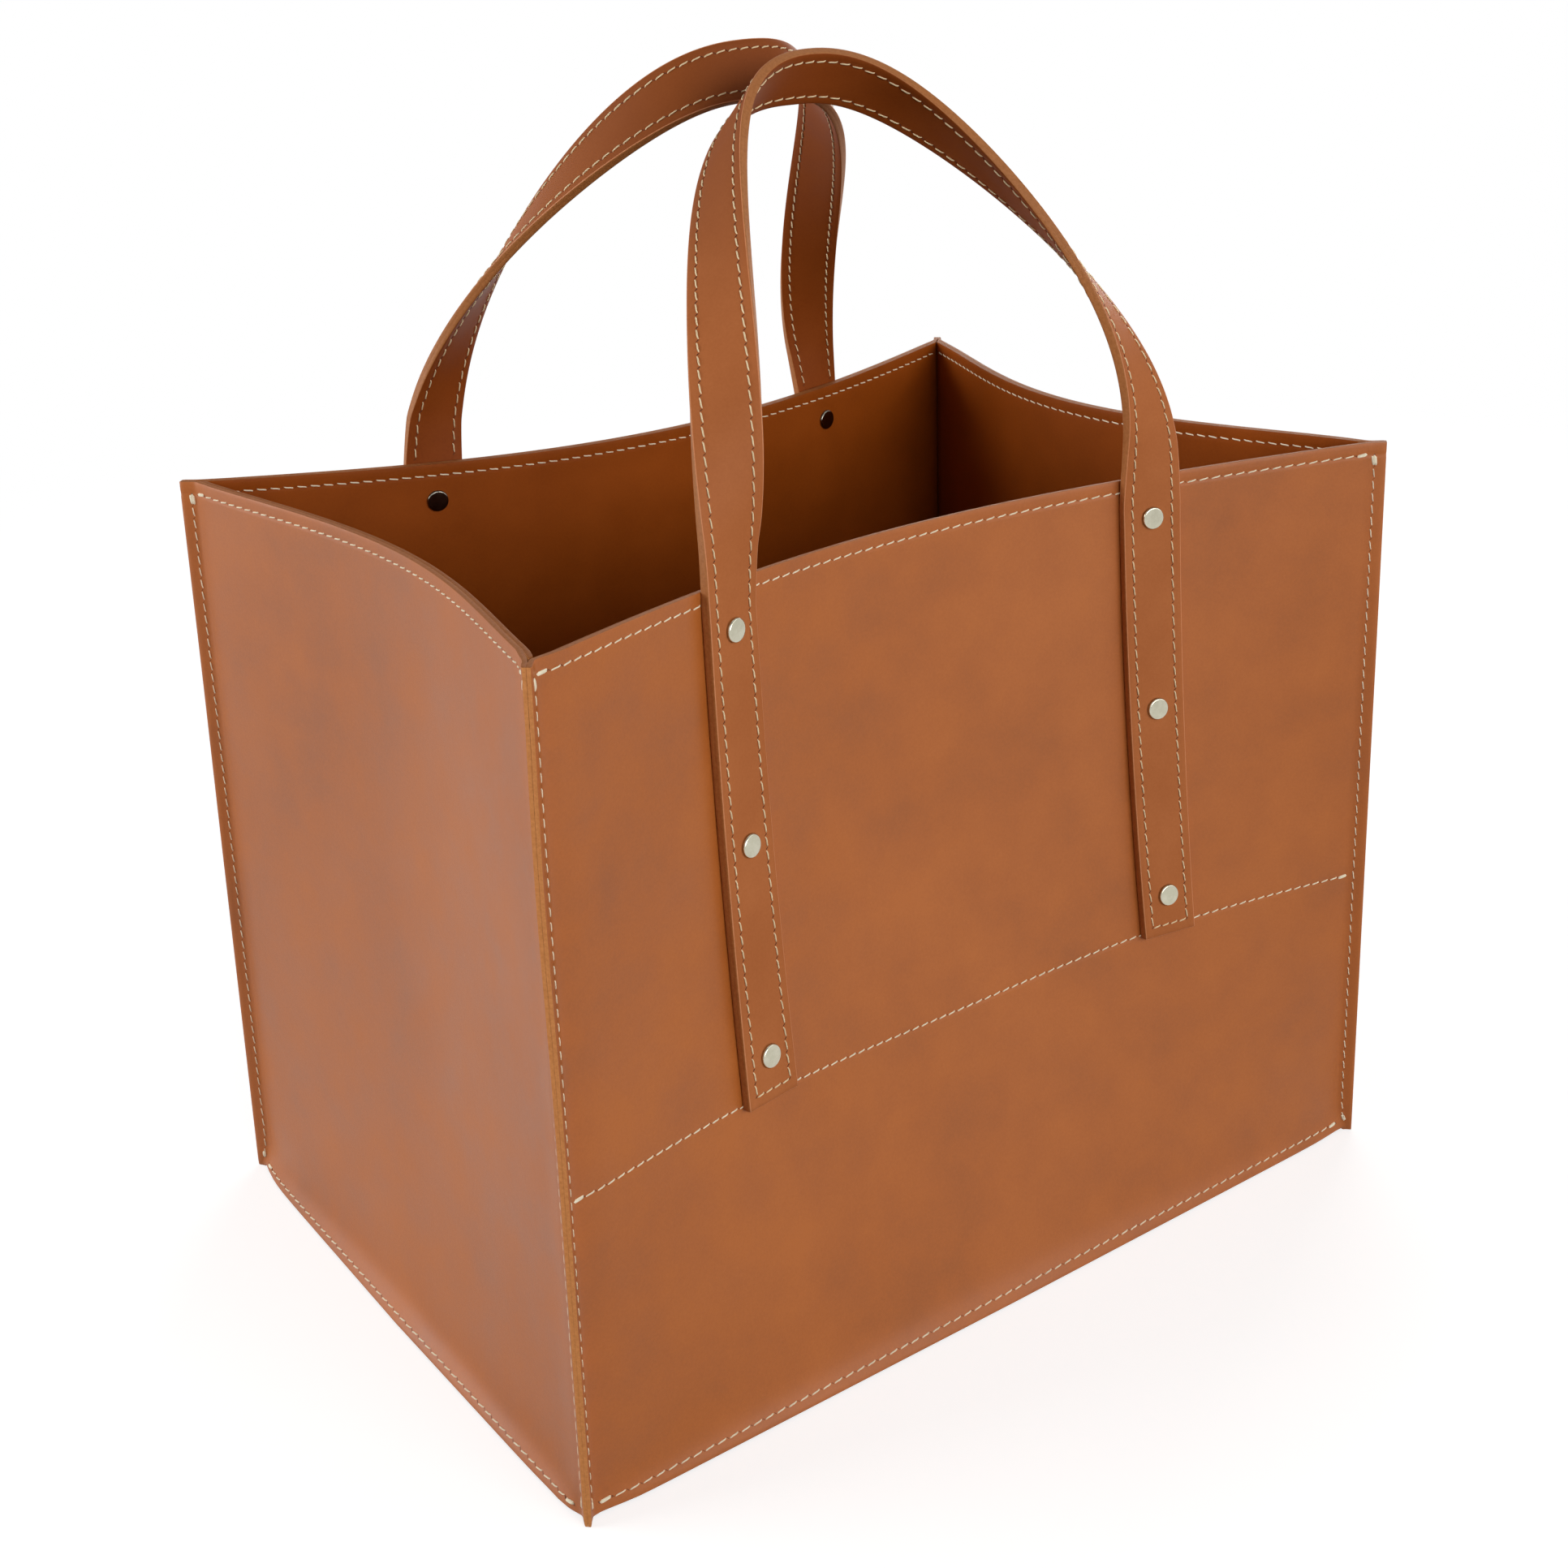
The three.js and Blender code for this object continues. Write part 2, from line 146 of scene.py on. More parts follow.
def makeMesh(name, points, quads, materials, slots=None, uv=None):
    points = np.asarray(points, float).reshape(-1, 3)
    used = np.unique(quads)
    index = np.full(len(points), -1)
    index[used] = np.arange(len(used))
    points, quads = points[used], index[quads]
    mesh = bpy.data.meshes.new(name)
    mesh.vertices.add(len(points))
    mesh.vertices.foreach_set("co", points.astype(np.float32).ravel())
    mesh.loops.add(quads.size)
    mesh.loops.foreach_set("vertex_index", quads.astype(np.int32).ravel())
    mesh.polygons.add(len(quads))
    mesh.polygons.foreach_set("loop_start", np.arange(0, quads.size, 4, dtype=np.int32))
    if slots is not None:
        mesh.polygons.foreach_set("material_index", np.asarray(slots, np.int32))
    mesh.update(calc_edges=True)
    if uv is not None:
        layer = mesh.uv_layers.new(name="along")
        flat = np.asarray(uv, float).reshape(-1, 2)[used][quads.ravel()]
        layer.data.foreach_set("uv", flat.astype(np.float32).ravel())
    mesh.validate()
    for material in materials:
        mesh.materials.append(material)
    return linked(name, mesh)

def linked(name, data):
    obj = bpy.data.objects.new(name, data)
    bpy.context.scene.collection.objects.link(obj)
    return obj

def valuesOf(items, name, size=1, kind=float):
    # a number or vector of each of a mesh's vertices or faces
    values = np.empty(len(items) * size, kind)
    items.foreach_get(name, values)
    return values.reshape(-1, size) if size > 1 else values

def roundEdges(obj, angle):
    # rounds the edges sharper than the angle, after any modifier that is there already
    bevel = obj.modifiers.new("round", "BEVEL")
    bevel.width = shell["edgeRound"]
    bevel.segments = 2
    bevel.limit_method = "ANGLE"
    bevel.angle_limit = angle
    graph = bpy.context.evaluated_depsgraph_get()
    finished = obj.evaluated_get(graph)
    mesh = bpy.data.meshes.new_from_object(finished, preserve_all_data_layers=True, depsgraph=graph)
    obj.modifiers.clear()
    obj.data = mesh

def shadeSmooth(obj, angle=0.6):
    obj.data.polygons.foreach_set("use_smooth", np.ones(len(obj.data.polygons), bool))
    obj.data.set_sharp_from_angle(angle=angle)
    obj.data.update()
    return obj

def dress(obj, body, slot, *replaced):
    if body:
        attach(obj, body)
    if replaced:
        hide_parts(*replaced)


# the walls' surface
def creaseAt(wall):
    # the bend into the flange, where the outer faces of two walls meet at 45 degrees
    return wall["half"] - (bag["leather"] + bag["gap"] / 2) * np.sqrt(2)

def wallSurface(wall, x, h):
    # y = bow (1 - a^2)(1 - ease a^2) u (1 + lift (1 - u)) - reach, with a = x / crease and u = h / height;
    # z = h - drop (1 - a^2)(1 - ease a^2) u^2
    a = x / creaseAt(wall)
    u = h / bag["height"]
    spread = (1 - a ** 2) * (1 - wall["ease"] * a ** 2)
    y = wall["bow"] * spread * u * (1 + bag["lift"] * (1 - u)) - wall["reach"]
    z = h - wall["drop"] * spread * u ** 2
    return np.stack(np.broadcast_arrays(x, y, z), -1)

def crossNormal(surface, x, h, e):
    # the cross product of a surface's two directions, from points e to either side
    return np.cross(surface(x + e, h) - surface(x - e, h), surface(x, h + e) - surface(x, h - e))

def wallNormal(wall, x, h):
    return normalized(crossNormal(lambda x, h: wallSurface(wall, x, h), x, h, 0.2 * mm))

def wallPoint(wall, x, h, out):
    # out metres off the outer face, along its normal
    x, h, out = np.broadcast_arrays(x, h, out)
    return wallSurface(wall, x, h) + wallNormal(wall, x, h) * out[..., None]

# where hand work left each corner: sideways shift in mm of the bend and of the flanges' edge, at rim and
# floor, and how far the edge sways in between
corners = {
    (-1, -1): {"bend": (-1.9, -1.4), "edge": (-0.4, 0.6), "sway": -1.1},
    (1, -1): {"bend": (0.4, -0.3), "edge": (-0.5, 0.5), "sway": 0.5},
    (1, 1): {"bend": (-0.3, 0.3), "edge": (0.4, -0.4), "sway": -0.4},
    (-1, 1): {"bend": (0.3, 0.2), "edge": (-0.3, 0.5), "sway": 0.4},
}
handWork = {"swayAt": 0.76, "swayRun": 0.18, "fade": 12 * mm}
pinch = {
    "height": 5 * mm, "share": 0.72, "start": 3 * mm, "run": 2.5 * mm,   # the flange's foot
    "edgeRun": 1.2 * mm, "edgeShare": 0.8,                               # its cut edge
    "side": 4 * mm,                                                      # further out nothing is pinched
}

def cornerPlace(points, sx, sy):
    # how far past the bend a point lies, along the corner's bisector, and how far to its side
    centre = np.array([creaseAt(wall) + wall["half"] for wall in (walls["front"], walls["left"])]) / 2
    x, y = points[..., 0] * sx - centre[0], points[..., 1] * sy - centre[1]
    return (x + y) / np.sqrt(2), (y - x) / np.sqrt(2)

def slide(points, sx, sy, move):
    # moves points sideways at a corner, square to its bisector
    points[..., 0] -= sx * move / np.sqrt(2)
    points[..., 1] += sy * move / np.sqrt(2)

def settled(points):
    # past the bend the shift runs evenly to the edge's, which sways by e^-((height - swayAt) / swayRun)^2
    # on the way up; before the bend it fades as (1 + cos) / 2
    points = np.array(points, float)
    up = points[..., 2] / bag["height"]
    for (sx, sy), shift in corners.items():
        past = cornerPlace(points, sx, sy)[0]
        bend, edge = (mm * (floor + (rim - floor) * up) for rim, floor in (shift["bend"], shift["edge"]))
        edge = edge + shift["sway"] * mm * np.exp(-((up - handWork["swayAt"]) / handWork["swayRun"]) ** 2)
        fade = 0.5 + 0.5 * np.cos(np.pi * np.clip(-past / handWork["fade"], 0, 1))
        slide(points, sx, sy, np.where(past > 0, bend + (edge - bend) * past / bag["flange"], bend * fade))
    return points

def pinched(points):
    # near the floor a flange narrows to a share of its thickness, and its cut edge is rounded off
    points = np.array(points, float)
    low = np.clip(1 - points[..., 2] / pinch["height"], 0, 1)
    for sx, sy in corners:
        past, side = cornerPlace(points, sx, sy)
        tip = 1 - (1 - pinch["share"]) * low ** 2 * np.clip((past - pinch["start"]) / pinch["run"], 0, 1)
        outer = np.clip((past - bag["flange"] + pinch["edgeRun"]) / pinch["edgeRun"], 0, 1)
        scale = tip * (1 - (1 - pinch["edgeShare"]) * outer ** 2)
        slide(points, sx, sy, np.where((past > 0) & (np.abs(side) < pinch["side"]), side * (scale - 1), 0))
    return points

def furrow(distance, depth, width=1.1 * mm):
    # the shallow valley that a row of stitches pulls into leather: depth e^-(d / width)^2
    return depth * np.exp(-(distance / width) ** 2)

# the seam that holds the sling, across the front and the back
seam = {"height": 137.8 * mm, "dip": 7 * mm, "middle": -10 * mm, "run": 110 * mm, "fade": 45 * mm}

def seamAt(x):
    # sewn by hand, the seam hangs a little in the middle: height - dip e^-((x - middle) / run)^2
    return seam["height"] - seam["dip"] * np.exp(-((x - seam["middle"]) / seam["run"]) ** 2)

def alongSeam(x, h):
    # rows of a grid bent to follow the seam, less and less as (1 + cos) / 2 up to fade away from it
    away = np.clip(np.abs(h - seam["height"]) / seam["fade"], 0, 1)
    return h + (seamAt(x) - seam["height"]) * (0.5 + 0.5 * np.cos(np.pi * away))


# materials
def fill(tree, n, inputs):
    # links a node's sockets, or sets their values
    for key, value in inputs.items():
        if isinstance(value, bpy.types.NodeSocket):
            tree.links.new(value, n.inputs[key])
        else:
            n.inputs[key].default_value = value

def node(tree, kind, inputs={}, **settings):
    n = tree.nodes.new("ShaderNode" + kind)
    for key, value in settings.items():
        setattr(n, key, value)
    fill(tree, n, inputs)
    return n

def newMaterial(name):
    material = bpy.data.materials.new(name)
    material.use_nodes = True
    tree = material.node_tree
    tree.nodes.clear()
    out = node(tree, "OutputMaterial")
    shader = node(tree, "BsdfPrincipled")
    tree.links.new(shader.outputs[0], out.inputs[0])
    return material, tree, shader

def objectPlace(tree):
    return node(tree, "TexCoord").outputs["Object"]

def noise(tree, place, scale, detail, rough):
    inputs = {"Vector": place, "Scale": scale, "Detail": detail, "Roughness": rough}
    return node(tree, "TexNoise", inputs).outputs["Fac"]

def maths(tree, operation, *values):
    return node(tree, "Math", dict(enumerate(values)), operation=operation).outputs[0]

def mapped(tree, value, low, high, toLow=0.0, toHigh=1.0, **settings):
    inputs = {"Value": value, "From Min": low, "From Max": high, "To Min": toLow, "To Max": toHigh}
    return node(tree, "MapRange", inputs, **settings).outputs[0]

def ramp(tree, factor, *stops):
    # colours in 0 to 255 at places from 0 to 1
    n = node(tree, "ValToRGB", {"Fac": factor})
    while len(n.color_ramp.elements) < len(stops):
        n.color_ramp.elements.new(0.5)
    for element, (place, colour) in zip(n.color_ramp.elements, stops):
        element.position = place
        element.color = (*linear(*colour), 1)
    return n.outputs["Color"]

def linear(r, g, b):
    c = np.array([r, g, b]) / 255
    return tuple(float(v) for v in np.where(c <= 0.04045, c / 12.92, ((c + 0.055) / 1.055) ** 2.4))

def bumped(tree, height, strength, distance):
    inputs = {"Height": height, "Strength": strength, "Distance": distance * mm}
    return node(tree, "Bump", inputs).outputs[0]

# grain is the depth of the bump in mm; handled leather is worn smooth and shows no pores
leatherLook = {
    "tan": {"deep": (161, 88, 34), "base": (173, 95, 37), "light": (182, 102, 42),
            "rough": 0.43, "grain": 0.026, "specular": 0.5, "ior": 1.45},
    # the strap's arches are painted darker towards their tops: painted shade
    "strap": {"deep": (171, 98, 53), "base": (179, 105, 59), "light": (187, 112, 65),
              "rough": 0.58, "grain": 0.01, "specular": 0.4, "ior": 1.22,
              "handled": True, "archShade": (0.58, 0.48, 0.36), "archShadeFrom": 0.4, "archShadeTo": 0.95},
    # painted shade: a darker copy of the strap leather for the strap's inner faces
    "shadedStrapInside": {"deep": (130, 60, 16), "base": (140, 67, 20), "light": (148, 73, 24),
                    "rough": 0.55, "grain": 0.01, "specular": 0.3, "ior": 1.3, "handled": True},
    # the lining is the same leather as the tan, painted darker and redder for the shade inside the bag
    "lining": {"deep": (136, 64, 13), "base": (147, 70, 15), "light": (155, 75, 17),
               "rough": 0.5, "grain": 0.02, "specular": 0.12, "ior": 1.45},
}

def archShadeTint(tree, tint, look):
    # painted shade: the straps' arches darken towards their tops; the strap's own map says how far up the
    # arch a point is
    along = node(tree, "UVMap", uv_map="along").outputs[0]
    height = node(tree, "SeparateXYZ", {0: along}).outputs["Y"]
    shadeShare = mapped(tree, height, look["archShadeFrom"], look["archShadeTo"], interpolation_type="SMOOTHSTEP")
    mix = node(tree, "Mix", data_type="RGBA", blend_type="MULTIPLY")
    fill(tree, mix, {0: shadeShare, 6: tint, 7: (*look["archShade"], 1)})   # factor and the two colours
    return mix.outputs[2]

def leatherMaterial(name, look):
    # soft clouds 20 to 60 mm wide and fine specks tint the hide; pores and fine wrinkles make the bump
    material, tree, shader = newMaterial(name)
    place = objectPlace(tree)
    clouds = noise(tree, place, 11.0, 3.0, 0.5)
    patches = noise(tree, place, 34.0, 3.0, 0.55)
    fine = noise(tree, place, 900.0, 3.0, 0.6)
    wrinkles = noise(tree, place, 160.0, 2.0, 0.5)
    cloudy = maths(tree, "MULTIPLY", maths(tree, "ADD", clouds, patches), 0.5)
    specks = maths(tree, "MULTIPLY_ADD", fine, 0.3, cloudy)
    tint = ramp(tree, specks, (0.47, look["deep"]), (0.65, look["base"]), (0.83, look["light"]))
    # painted shade, darker towards the tops of the arches
    if "archShade" in look:
        tint = archShadeTint(tree, tint, look)
    height = wrinkles
    if "handled" not in look:
        cells = {"Vector": place, "Scale": 1500.0, "Randomness": 1.0}
        cracks = node(tree, "TexVoronoi", cells, feature="DISTANCE_TO_EDGE").outputs["Distance"]
        pores = maths(tree, "ADD", mapped(tree, cracks, 0.0, 0.12, 0.0, 0.5), fine)
        height = maths(tree, "MULTIPLY_ADD", wrinkles, 2.0, pores)
    fill(tree, shader, {
        "Base Color": tint,
        "Normal": bumped(tree, height, 1.0, look["grain"]),
        "Roughness": mapped(tree, patches, 0.3, 0.7, look["rough"] - 0.05, look["rough"] + 0.06),
        "IOR": look["ior"],
        "Specular IOR Level": look["specular"],
    })
    return material

def edgeMaterial(name, dark, light, rough, fuzz, specular):
    # the cut edge of leather: fibres as fine streaks and grains
    material, tree, shader = newMaterial(name)
    fibres = noise(tree, objectPlace(tree), 700.0, 4.0, 0.7)
    fill(tree, shader, {
        "Base Color": ramp(tree, fibres, (0.3, dark), (0.65, light)),
        "Normal": bumped(tree, fibres, 0.8, fuzz),
        "Roughness": rough,
        "Specular IOR Level": specular,
    })
    return material

def threadMaterial(name, dark, light):
    # waxed thread: two strands twisted, seen as slanted bands across the thread
    material, tree, shader = newMaterial(name)
    along = node(tree, "UVMap", uv_map="along").outputs[0]
    twist = {"Vector": along, "Scale": 1.0, "Distortion": 0.3, "Detail": 1.0}
    bands = node(tree, "TexWave", twist, wave_type="BANDS", bands_direction="DIAGONAL").outputs["Fac"]
    fill(tree, shader, {
        "Base Color": ramp(tree, bands, (0.1, dark), (0.6, light)),
        "Normal": bumped(tree, bands, 0.6, 0.05),
        "Roughness": 0.55,
    })
    return material

def plainMaterial(name, dark, light, scale):
    material, tree, shader = newMaterial(name)
    grain = noise(tree, objectPlace(tree), scale, 4.0, 0.6)
    fill(tree, shader, {"Base Color": ramp(tree, grain, (0.35, dark), (0.65, light)), "Roughness": 0.9})
    return material

def nickelMaterial(name, dark, light):
    material, tree, shader = newMaterial(name)
    smears = noise(tree, objectPlace(tree), 250.0, 2.0, 0.6)
    fill(tree, shader, {
        "Base Color": ramp(tree, smears, (0.35, dark), (0.65, light)),
        "Roughness": mapped(tree, smears, 0.3, 0.7, 0.13, 0.18),
        "Metallic": 1.0,
    })
    return material

tanLeather = leatherMaterial("tan_leather", leatherLook["tan"])
strapLeather = leatherMaterial("strap_leather", leatherLook["strap"])
# the strap's inner faces in a darker copy of its leather: painted shade
shadedStrapInside = leatherMaterial("strap_inside_shaded", leatherLook["shadedStrapInside"])
# painted shade: the linings and the sling in a darker copy of the tan leather
shadedLiningLeather = leatherMaterial("lining_leather", leatherLook["lining"])
cutEdge = edgeMaterial("cut_edge", (198, 124, 66), (220, 146, 84), 0.6, 0.04, 0.3)
rimEdge = edgeMaterial("rim_edge", (146, 88, 46), (166, 104, 60), 0.6, 0.02, 0.06)
strapEdge = edgeMaterial("strap_edge", (158, 96, 48), (176, 112, 62), 0.5, 0.02, 0.25)
# painted highlight: a lighter colour for the strap's rounded corners
strapCornerHighlight = edgeMaterial("strap_corner_highlight", (196, 124, 80), (208, 138, 94), 0.5, 0.01, 0.3)
liningEdge = edgeMaterial("lining_edge", (134, 78, 38), (156, 94, 50), 0.6, 0.02, 0.05)
cement = edgeMaterial("cement", (160, 100, 54), (180, 118, 68), 0.7, 0.01, 0.05)
cream = threadMaterial("cream_thread", (255, 238, 202), (255, 248, 222))
# painted shade: a darker, warmer copy of the cream thread for the straps, whose arches lie in shade
shadedCream = threadMaterial("shaded_cream_thread", (240, 214, 166), (250, 230, 188))
# painted shade: the dark of the needle holes
holeShade = plainMaterial("needle_hole_shade", (76, 36, 20), (98, 52, 30), 900.0)
fibreboard = plainMaterial("fibreboard", (120, 98, 72), (152, 128, 98), 500.0)
nickel = nickelMaterial("polished_nickel", (184, 180, 160), (194, 190, 171))
# painted dark reflection: a darker copy of the nickel for the heads inside the bag
shadedNickel = nickelMaterial("shaded_nickel", (116, 113, 104), (126, 122, 112))
print("materials made")


# the outer leather: one long piece for front, base and back, and two ends
shell = {
    "columnStep": 6 * mm, "rowStep": 7 * mm, "foldSteps": 12, "baseSteps": 39,
    "lowRows": 22 * mm, "lowSteps": 16,       # closer rows near the floor
    "nearBend": 1.5 * mm, "nearReach": 3 * mm,   # closer columns before the bend
    "finColumns": (0.5, 1, 1.6, 2.4, 3.6, 5, 6.3),   # mm past the bend
    "edgeRound": 0.16 * mm, "furrow": 0.22 * mm,
    "bend": 2.0 * mm,        # half the length over which a wall bends into its flange
    "finStitch": 2.3 * mm,   # stitch line past the bend
    "finGap": 0.11 * mm,     # how much closer the flanges lie than the bends
    "closeRun": 2 * mm, "closeEase": 0.5,
    "lipRise": 7 * mm, "lipRun": 8 * mm, "lipMiddle": 0.2,
    "flare": 2.6 * mm, "flareRun": 6 * mm,    # how far a corner's foot stands out along both walls
    "rimBand": 12 * mm, "rimFacing": 0.3,     # where a cut edge counts as the rim's
}

def shellColumns(wall):
    crease = creaseAt(wall)
    near = crease - shell["nearBend"]
    middle = refined(-crease, crease, shell["columnStep"], [-near, near], shell["nearReach"])
    fin = np.append(np.array(shell["finColumns"]) * mm, bag["flange"])
    return np.concatenate([-crease - fin[::-1], middle, crease + fin])

def shellRows(seamed):
    upper = refined(shell["lowRows"], bag["height"], shell["rowStep"], [rimLine, seam["height"]][:1 + seamed])
    return np.concatenate([np.linspace(bag["fold"], shell["lowRows"], shell["lowSteps"] + 1)[:-1], upper])

def footOut(wall, x, h):
    # with d the distance to the bend and low = e^-(h / rise)^1.5, the pinched fold stands out by
    # lip (1 - e^(-d / run)) (1 - middle + middle d / crease) low, and the corner's foot by
    # flare e^(-d / flareRun) low along both walls
    d = np.maximum(creaseAt(wall) - np.abs(x), 0)
    low = np.exp(-(h / shell["lipRise"]) ** 1.5)
    fuller = 1 - shell["lipMiddle"] + shell["lipMiddle"] * d / creaseAt(wall)
    lip = wall["lip"] * (1 - np.exp(-d / shell["lipRun"])) * fuller * low
    return lip, shell["flare"] * np.exp(-d / shell["flareRun"]) * low

def shellFace(wall, x, h, seamed):
    # the wall's surface with its lip, less the furrows of its stitch rows
    depth = furrow(h - rimLine, shell["furrow"])
    if seamed:
        depth = depth + furrow(h - seamAt(x), shell["furrow"])
    points = wallPoint(wall, x, h, -depth)
    lip, flare = footOut(wall, x, h)
    points[..., 0] += np.sign(x) * flare
    points[..., 1] -= lip + flare
    return points

def shellWall(wall, x, h, seamed, bend=1.0):
    # past the crease the flange runs out at 45 degrees; a quadratic curve rounds the bend between them
    crease, hand = creaseAt(wall), np.sign(x)
    past = np.abs(x) - crease
    face = shellFace(wall, np.clip(x, -crease, crease), h, seamed)
    corner = shellFace(wall, hand * crease, h, False)
    run = np.stack([hand, -1 + 0 * x, 0 * x], -1) / np.sqrt(2)
    inward = np.stack([hand, 1 + 0 * x, 0 * x], -1) / np.sqrt(2)
    ease = 1 - shell["closeEase"] * (h / bag["height"]) ** 2
    close = shell["finGap"] * np.clip(past / shell["closeRun"], 0, 1) * ease
    reach = np.maximum(past, 0) * (1 - np.sqrt(2) * footOut(wall, crease, h)[1] / bag["flange"])
    flange = corner + run * reach[..., None] + inward * close[..., None]
    size = np.maximum(shell["bend"] * bend, 1e-9)
    t = np.clip((past + size) / (2 * size), 0, 1)[..., None]
    start = shellFace(wall, hand * (crease - size), h, False)
    end = corner + run * np.reshape(size, np.shape(size) + (1,))
    points = np.where((past > 0)[..., None], flange, face)
    return np.where((np.abs(past) < size)[..., None], quadratic(start, corner, end, t), points)

def shellFold(wall, x, t):
    # from the wall at the fold's height (t = 0) under to the floor (t = 1): a quadratic curve with its
    # corner on the floor
    crease, r = creaseAt(wall), bag["fold"]
    bend = np.clip(1 - 2 * t, 0, 1)
    top = shellWall(wall, x, r + 0 * x, False, bend)
    lip, flare = footOut(wall, x, 0 * x)
    corner = np.stack([x + np.sign(x) * flare, -wall["reach"] - lip - flare, 0 * x], -1)
    end = np.stack([x, -wall["reach"] - lip + bag["under"], 0 * x], -1)
    straight = top * [1, 1, 0] + np.stack([0 * x, 0 * x, r * bend], -1)
    finned = (np.abs(x) > crease + 1e-9)[..., None]
    return np.where(finned, straight, quadratic(top, corner, end, t[..., None]))

def shellHalf(side, seamed):
    # rows of one wall from the rim down to the floor, as world points, and which rows carry the flanges
    wall = walls[side]
    x = shellColumns(wall)
    h = shellRows(seamed)[::-1]
    t = np.linspace(0, 1, shell["foldSteps"] + 1)[1:]
    xs, hs = np.meshgrid(x, h)
    xt, ts = np.meshgrid(x, t)
    hs = alongSeam(xs, hs) if seamed else hs
    points = np.concatenate([shellWall(wall, xs, hs, seamed), shellFold(wall, xt, ts)])
    finned = np.concatenate([np.ones(len(h), bool), t <= 0.5])
    return turned(points, wall["turn"]), finned, x

def markRims(obj):
    # cut edges that face up at the rim get their own burnished finish, the third material
    faces = obj.data.polygons
    up, height = valuesOf(faces, "normal", 3)[:, 2], valuesOf(faces, "center", 3)[:, 2]
    slots = valuesOf(faces, "material_index", kind=np.int32)
    slots[(slots == 1) & (up > shell["rimFacing"]) & (height > bag["height"] - shell["rimBand"])] = 2
    faces.foreach_set("material_index", slots)

def leatherSheet(name, points, mask, materials):
    # an outer face given its thickness inwards, its cut edges in their own material and slightly rounded
    rows, columns = points.shape[:2]
    obj = makeMesh(name, points, gridQuads(rows, columns, mask)[:, ::-1], materials)
    solid = obj.modifiers.new("thickness", "SOLIDIFY")
    solid.thickness = bag["leather"]
    solid.offset = -1
    solid.use_even_offset = True
    solid.use_quality_normals = True
    solid.material_offset_rim = 1
    roundEdges(obj, 1.2)
    finished = settled(pinched(valuesOf(obj.data.vertices, "co", 3)))
    obj.data.vertices.foreach_set("co", finished.ravel())
    if len(materials) > 2:
        markRims(obj)
    return shadeSmooth(obj)

def outerSheet(name, wall, x, points, finned, *replaced):
    # flanges are there only in the rows that carry them
    crease = creaseAt(wall) + 1e-9
    body = (x[:-1] >= -crease) & (x[1:] <= crease)
    mask = body[None, :] | (finned[:-1, None] & finned[1:, None])
    obj = leatherSheet(name, points, mask, [tanLeather, cutEdge, rimEdge])
    dress(obj, "bag", "outer_leather", *replaced)

def makeShell():
    front, finned, x = shellHalf("front", True)
    back, finnedBack, _ = shellHalf("back", True)
    back = back[:, ::-1]
    base = between(front[-1], back[-1], shell["baseSteps"])
    points = np.concatenate([front, base, back[::-1]])
    carries = np.concatenate([finned, np.zeros(len(base), bool), finnedBack[::-1]])
    outerSheet("outer_leather", walls["front"], x, points, carries,
               "outer_front_panel", "base_panel", "outer_back_panel")
    for side in ("left", "right"):
        points, finned, x = shellHalf(side, False)
        under = points[-1].copy()
        under[:, 0] = np.sign(under[:, 0]) * (walls[side]["reach"] - bag["endFloor"])
        points, finned = np.concatenate([points, under[None]]), np.append(finned, False)
        outerSheet(f"outer_{side}_leather", walls[side], x, points, finned, f"outer_{side}_panel")

makeShell()
print("outer leather made")


# the linings: each runs to the line where it would meet its neighbour
lining = {
    "columnStep": 6 * mm, "rowStep": 7 * mm, "cornerGap": 0.4 * mm, "furrow": 0.2 * mm,
    "floorGap": 0.2 * mm, "search": 30 * mm, "halvings": 30,
    "low": {"front": 0.7 * mm, "right": 0, "back": 0, "left": 0},   # how far its rim lies below the leather's
}

def liningEnd(wall, h, depth):
    # where the face at this depth comes within the corner gap of the plane between two walls, by halving
    low = np.full(np.shape(h), creaseAt(wall) - lining["search"])
    high = np.full(np.shape(h), wall["half"])
    for _ in range(lining["halvings"]):
        middle = (low + high) / 2
        p = wallPoint(wall, middle, h, -depth)
        left = (wall["half"] - p[..., 0] - p[..., 1] - wall["reach"]) / np.sqrt(2)
        clear = left > lining["cornerGap"] / 2
        low, high = np.where(clear, middle, low), np.where(clear, high, middle)
    return low

def makeLining(side):
    # two faces on the wall's surface, joined by a rim round their borders
    wall = walls[side]
    start = bag["leather"] + bag["gap"]
    h = refined(start + lining["floorGap"], bag["height"] - lining["low"][side], lining["rowStep"], [rimLine])
    share = np.linspace(-1, 1, int(2 * wall["half"] / lining["columnStep"]) + 1)
    faces = []
    for depth in (start, start + bag["leather"]):
        x = share[None, :] * liningEnd(wall, h, depth)[:, None]
        hs = np.broadcast_to(h[:, None], x.shape)
        sink = furrow(hs - rimLine, lining["furrow"]) * (depth > start)
        points = wallPoint(wall, x, hs, -(depth - sink))
        points[..., 2] = np.maximum(points[..., 2], start)
        faces.append(turned(points, wall["turn"]))
    rows, columns = faces[0].shape[:2]
    n = rows * columns
    face = gridQuads(rows, columns)
    ring = np.concatenate([np.arange(columns - 1), np.arange(columns - 1, n - 1, columns),
                           np.arange(n - 1, n - columns, -1), np.arange(n - columns, 0, -columns)])
    after = np.roll(ring, -1)
    rim = np.stack([ring, ring + n, after + n, after], 1)
    points = np.concatenate([f.reshape(-1, 3) for f in faces])
    quads = facingOut(points, np.concatenate([face, face[:, ::-1] + n, rim]))
    slots = np.repeat([0, 1], [2 * len(face), len(rim)])
    obj = makeMesh(f"lining_{side}_leather", settled(points), quads, [shadedLiningLeather, liningEdge], slots)
    roundEdges(obj, 1.0)
    dress(shadeSmooth(obj), "bag", "lining_leather", f"lining_{side}")

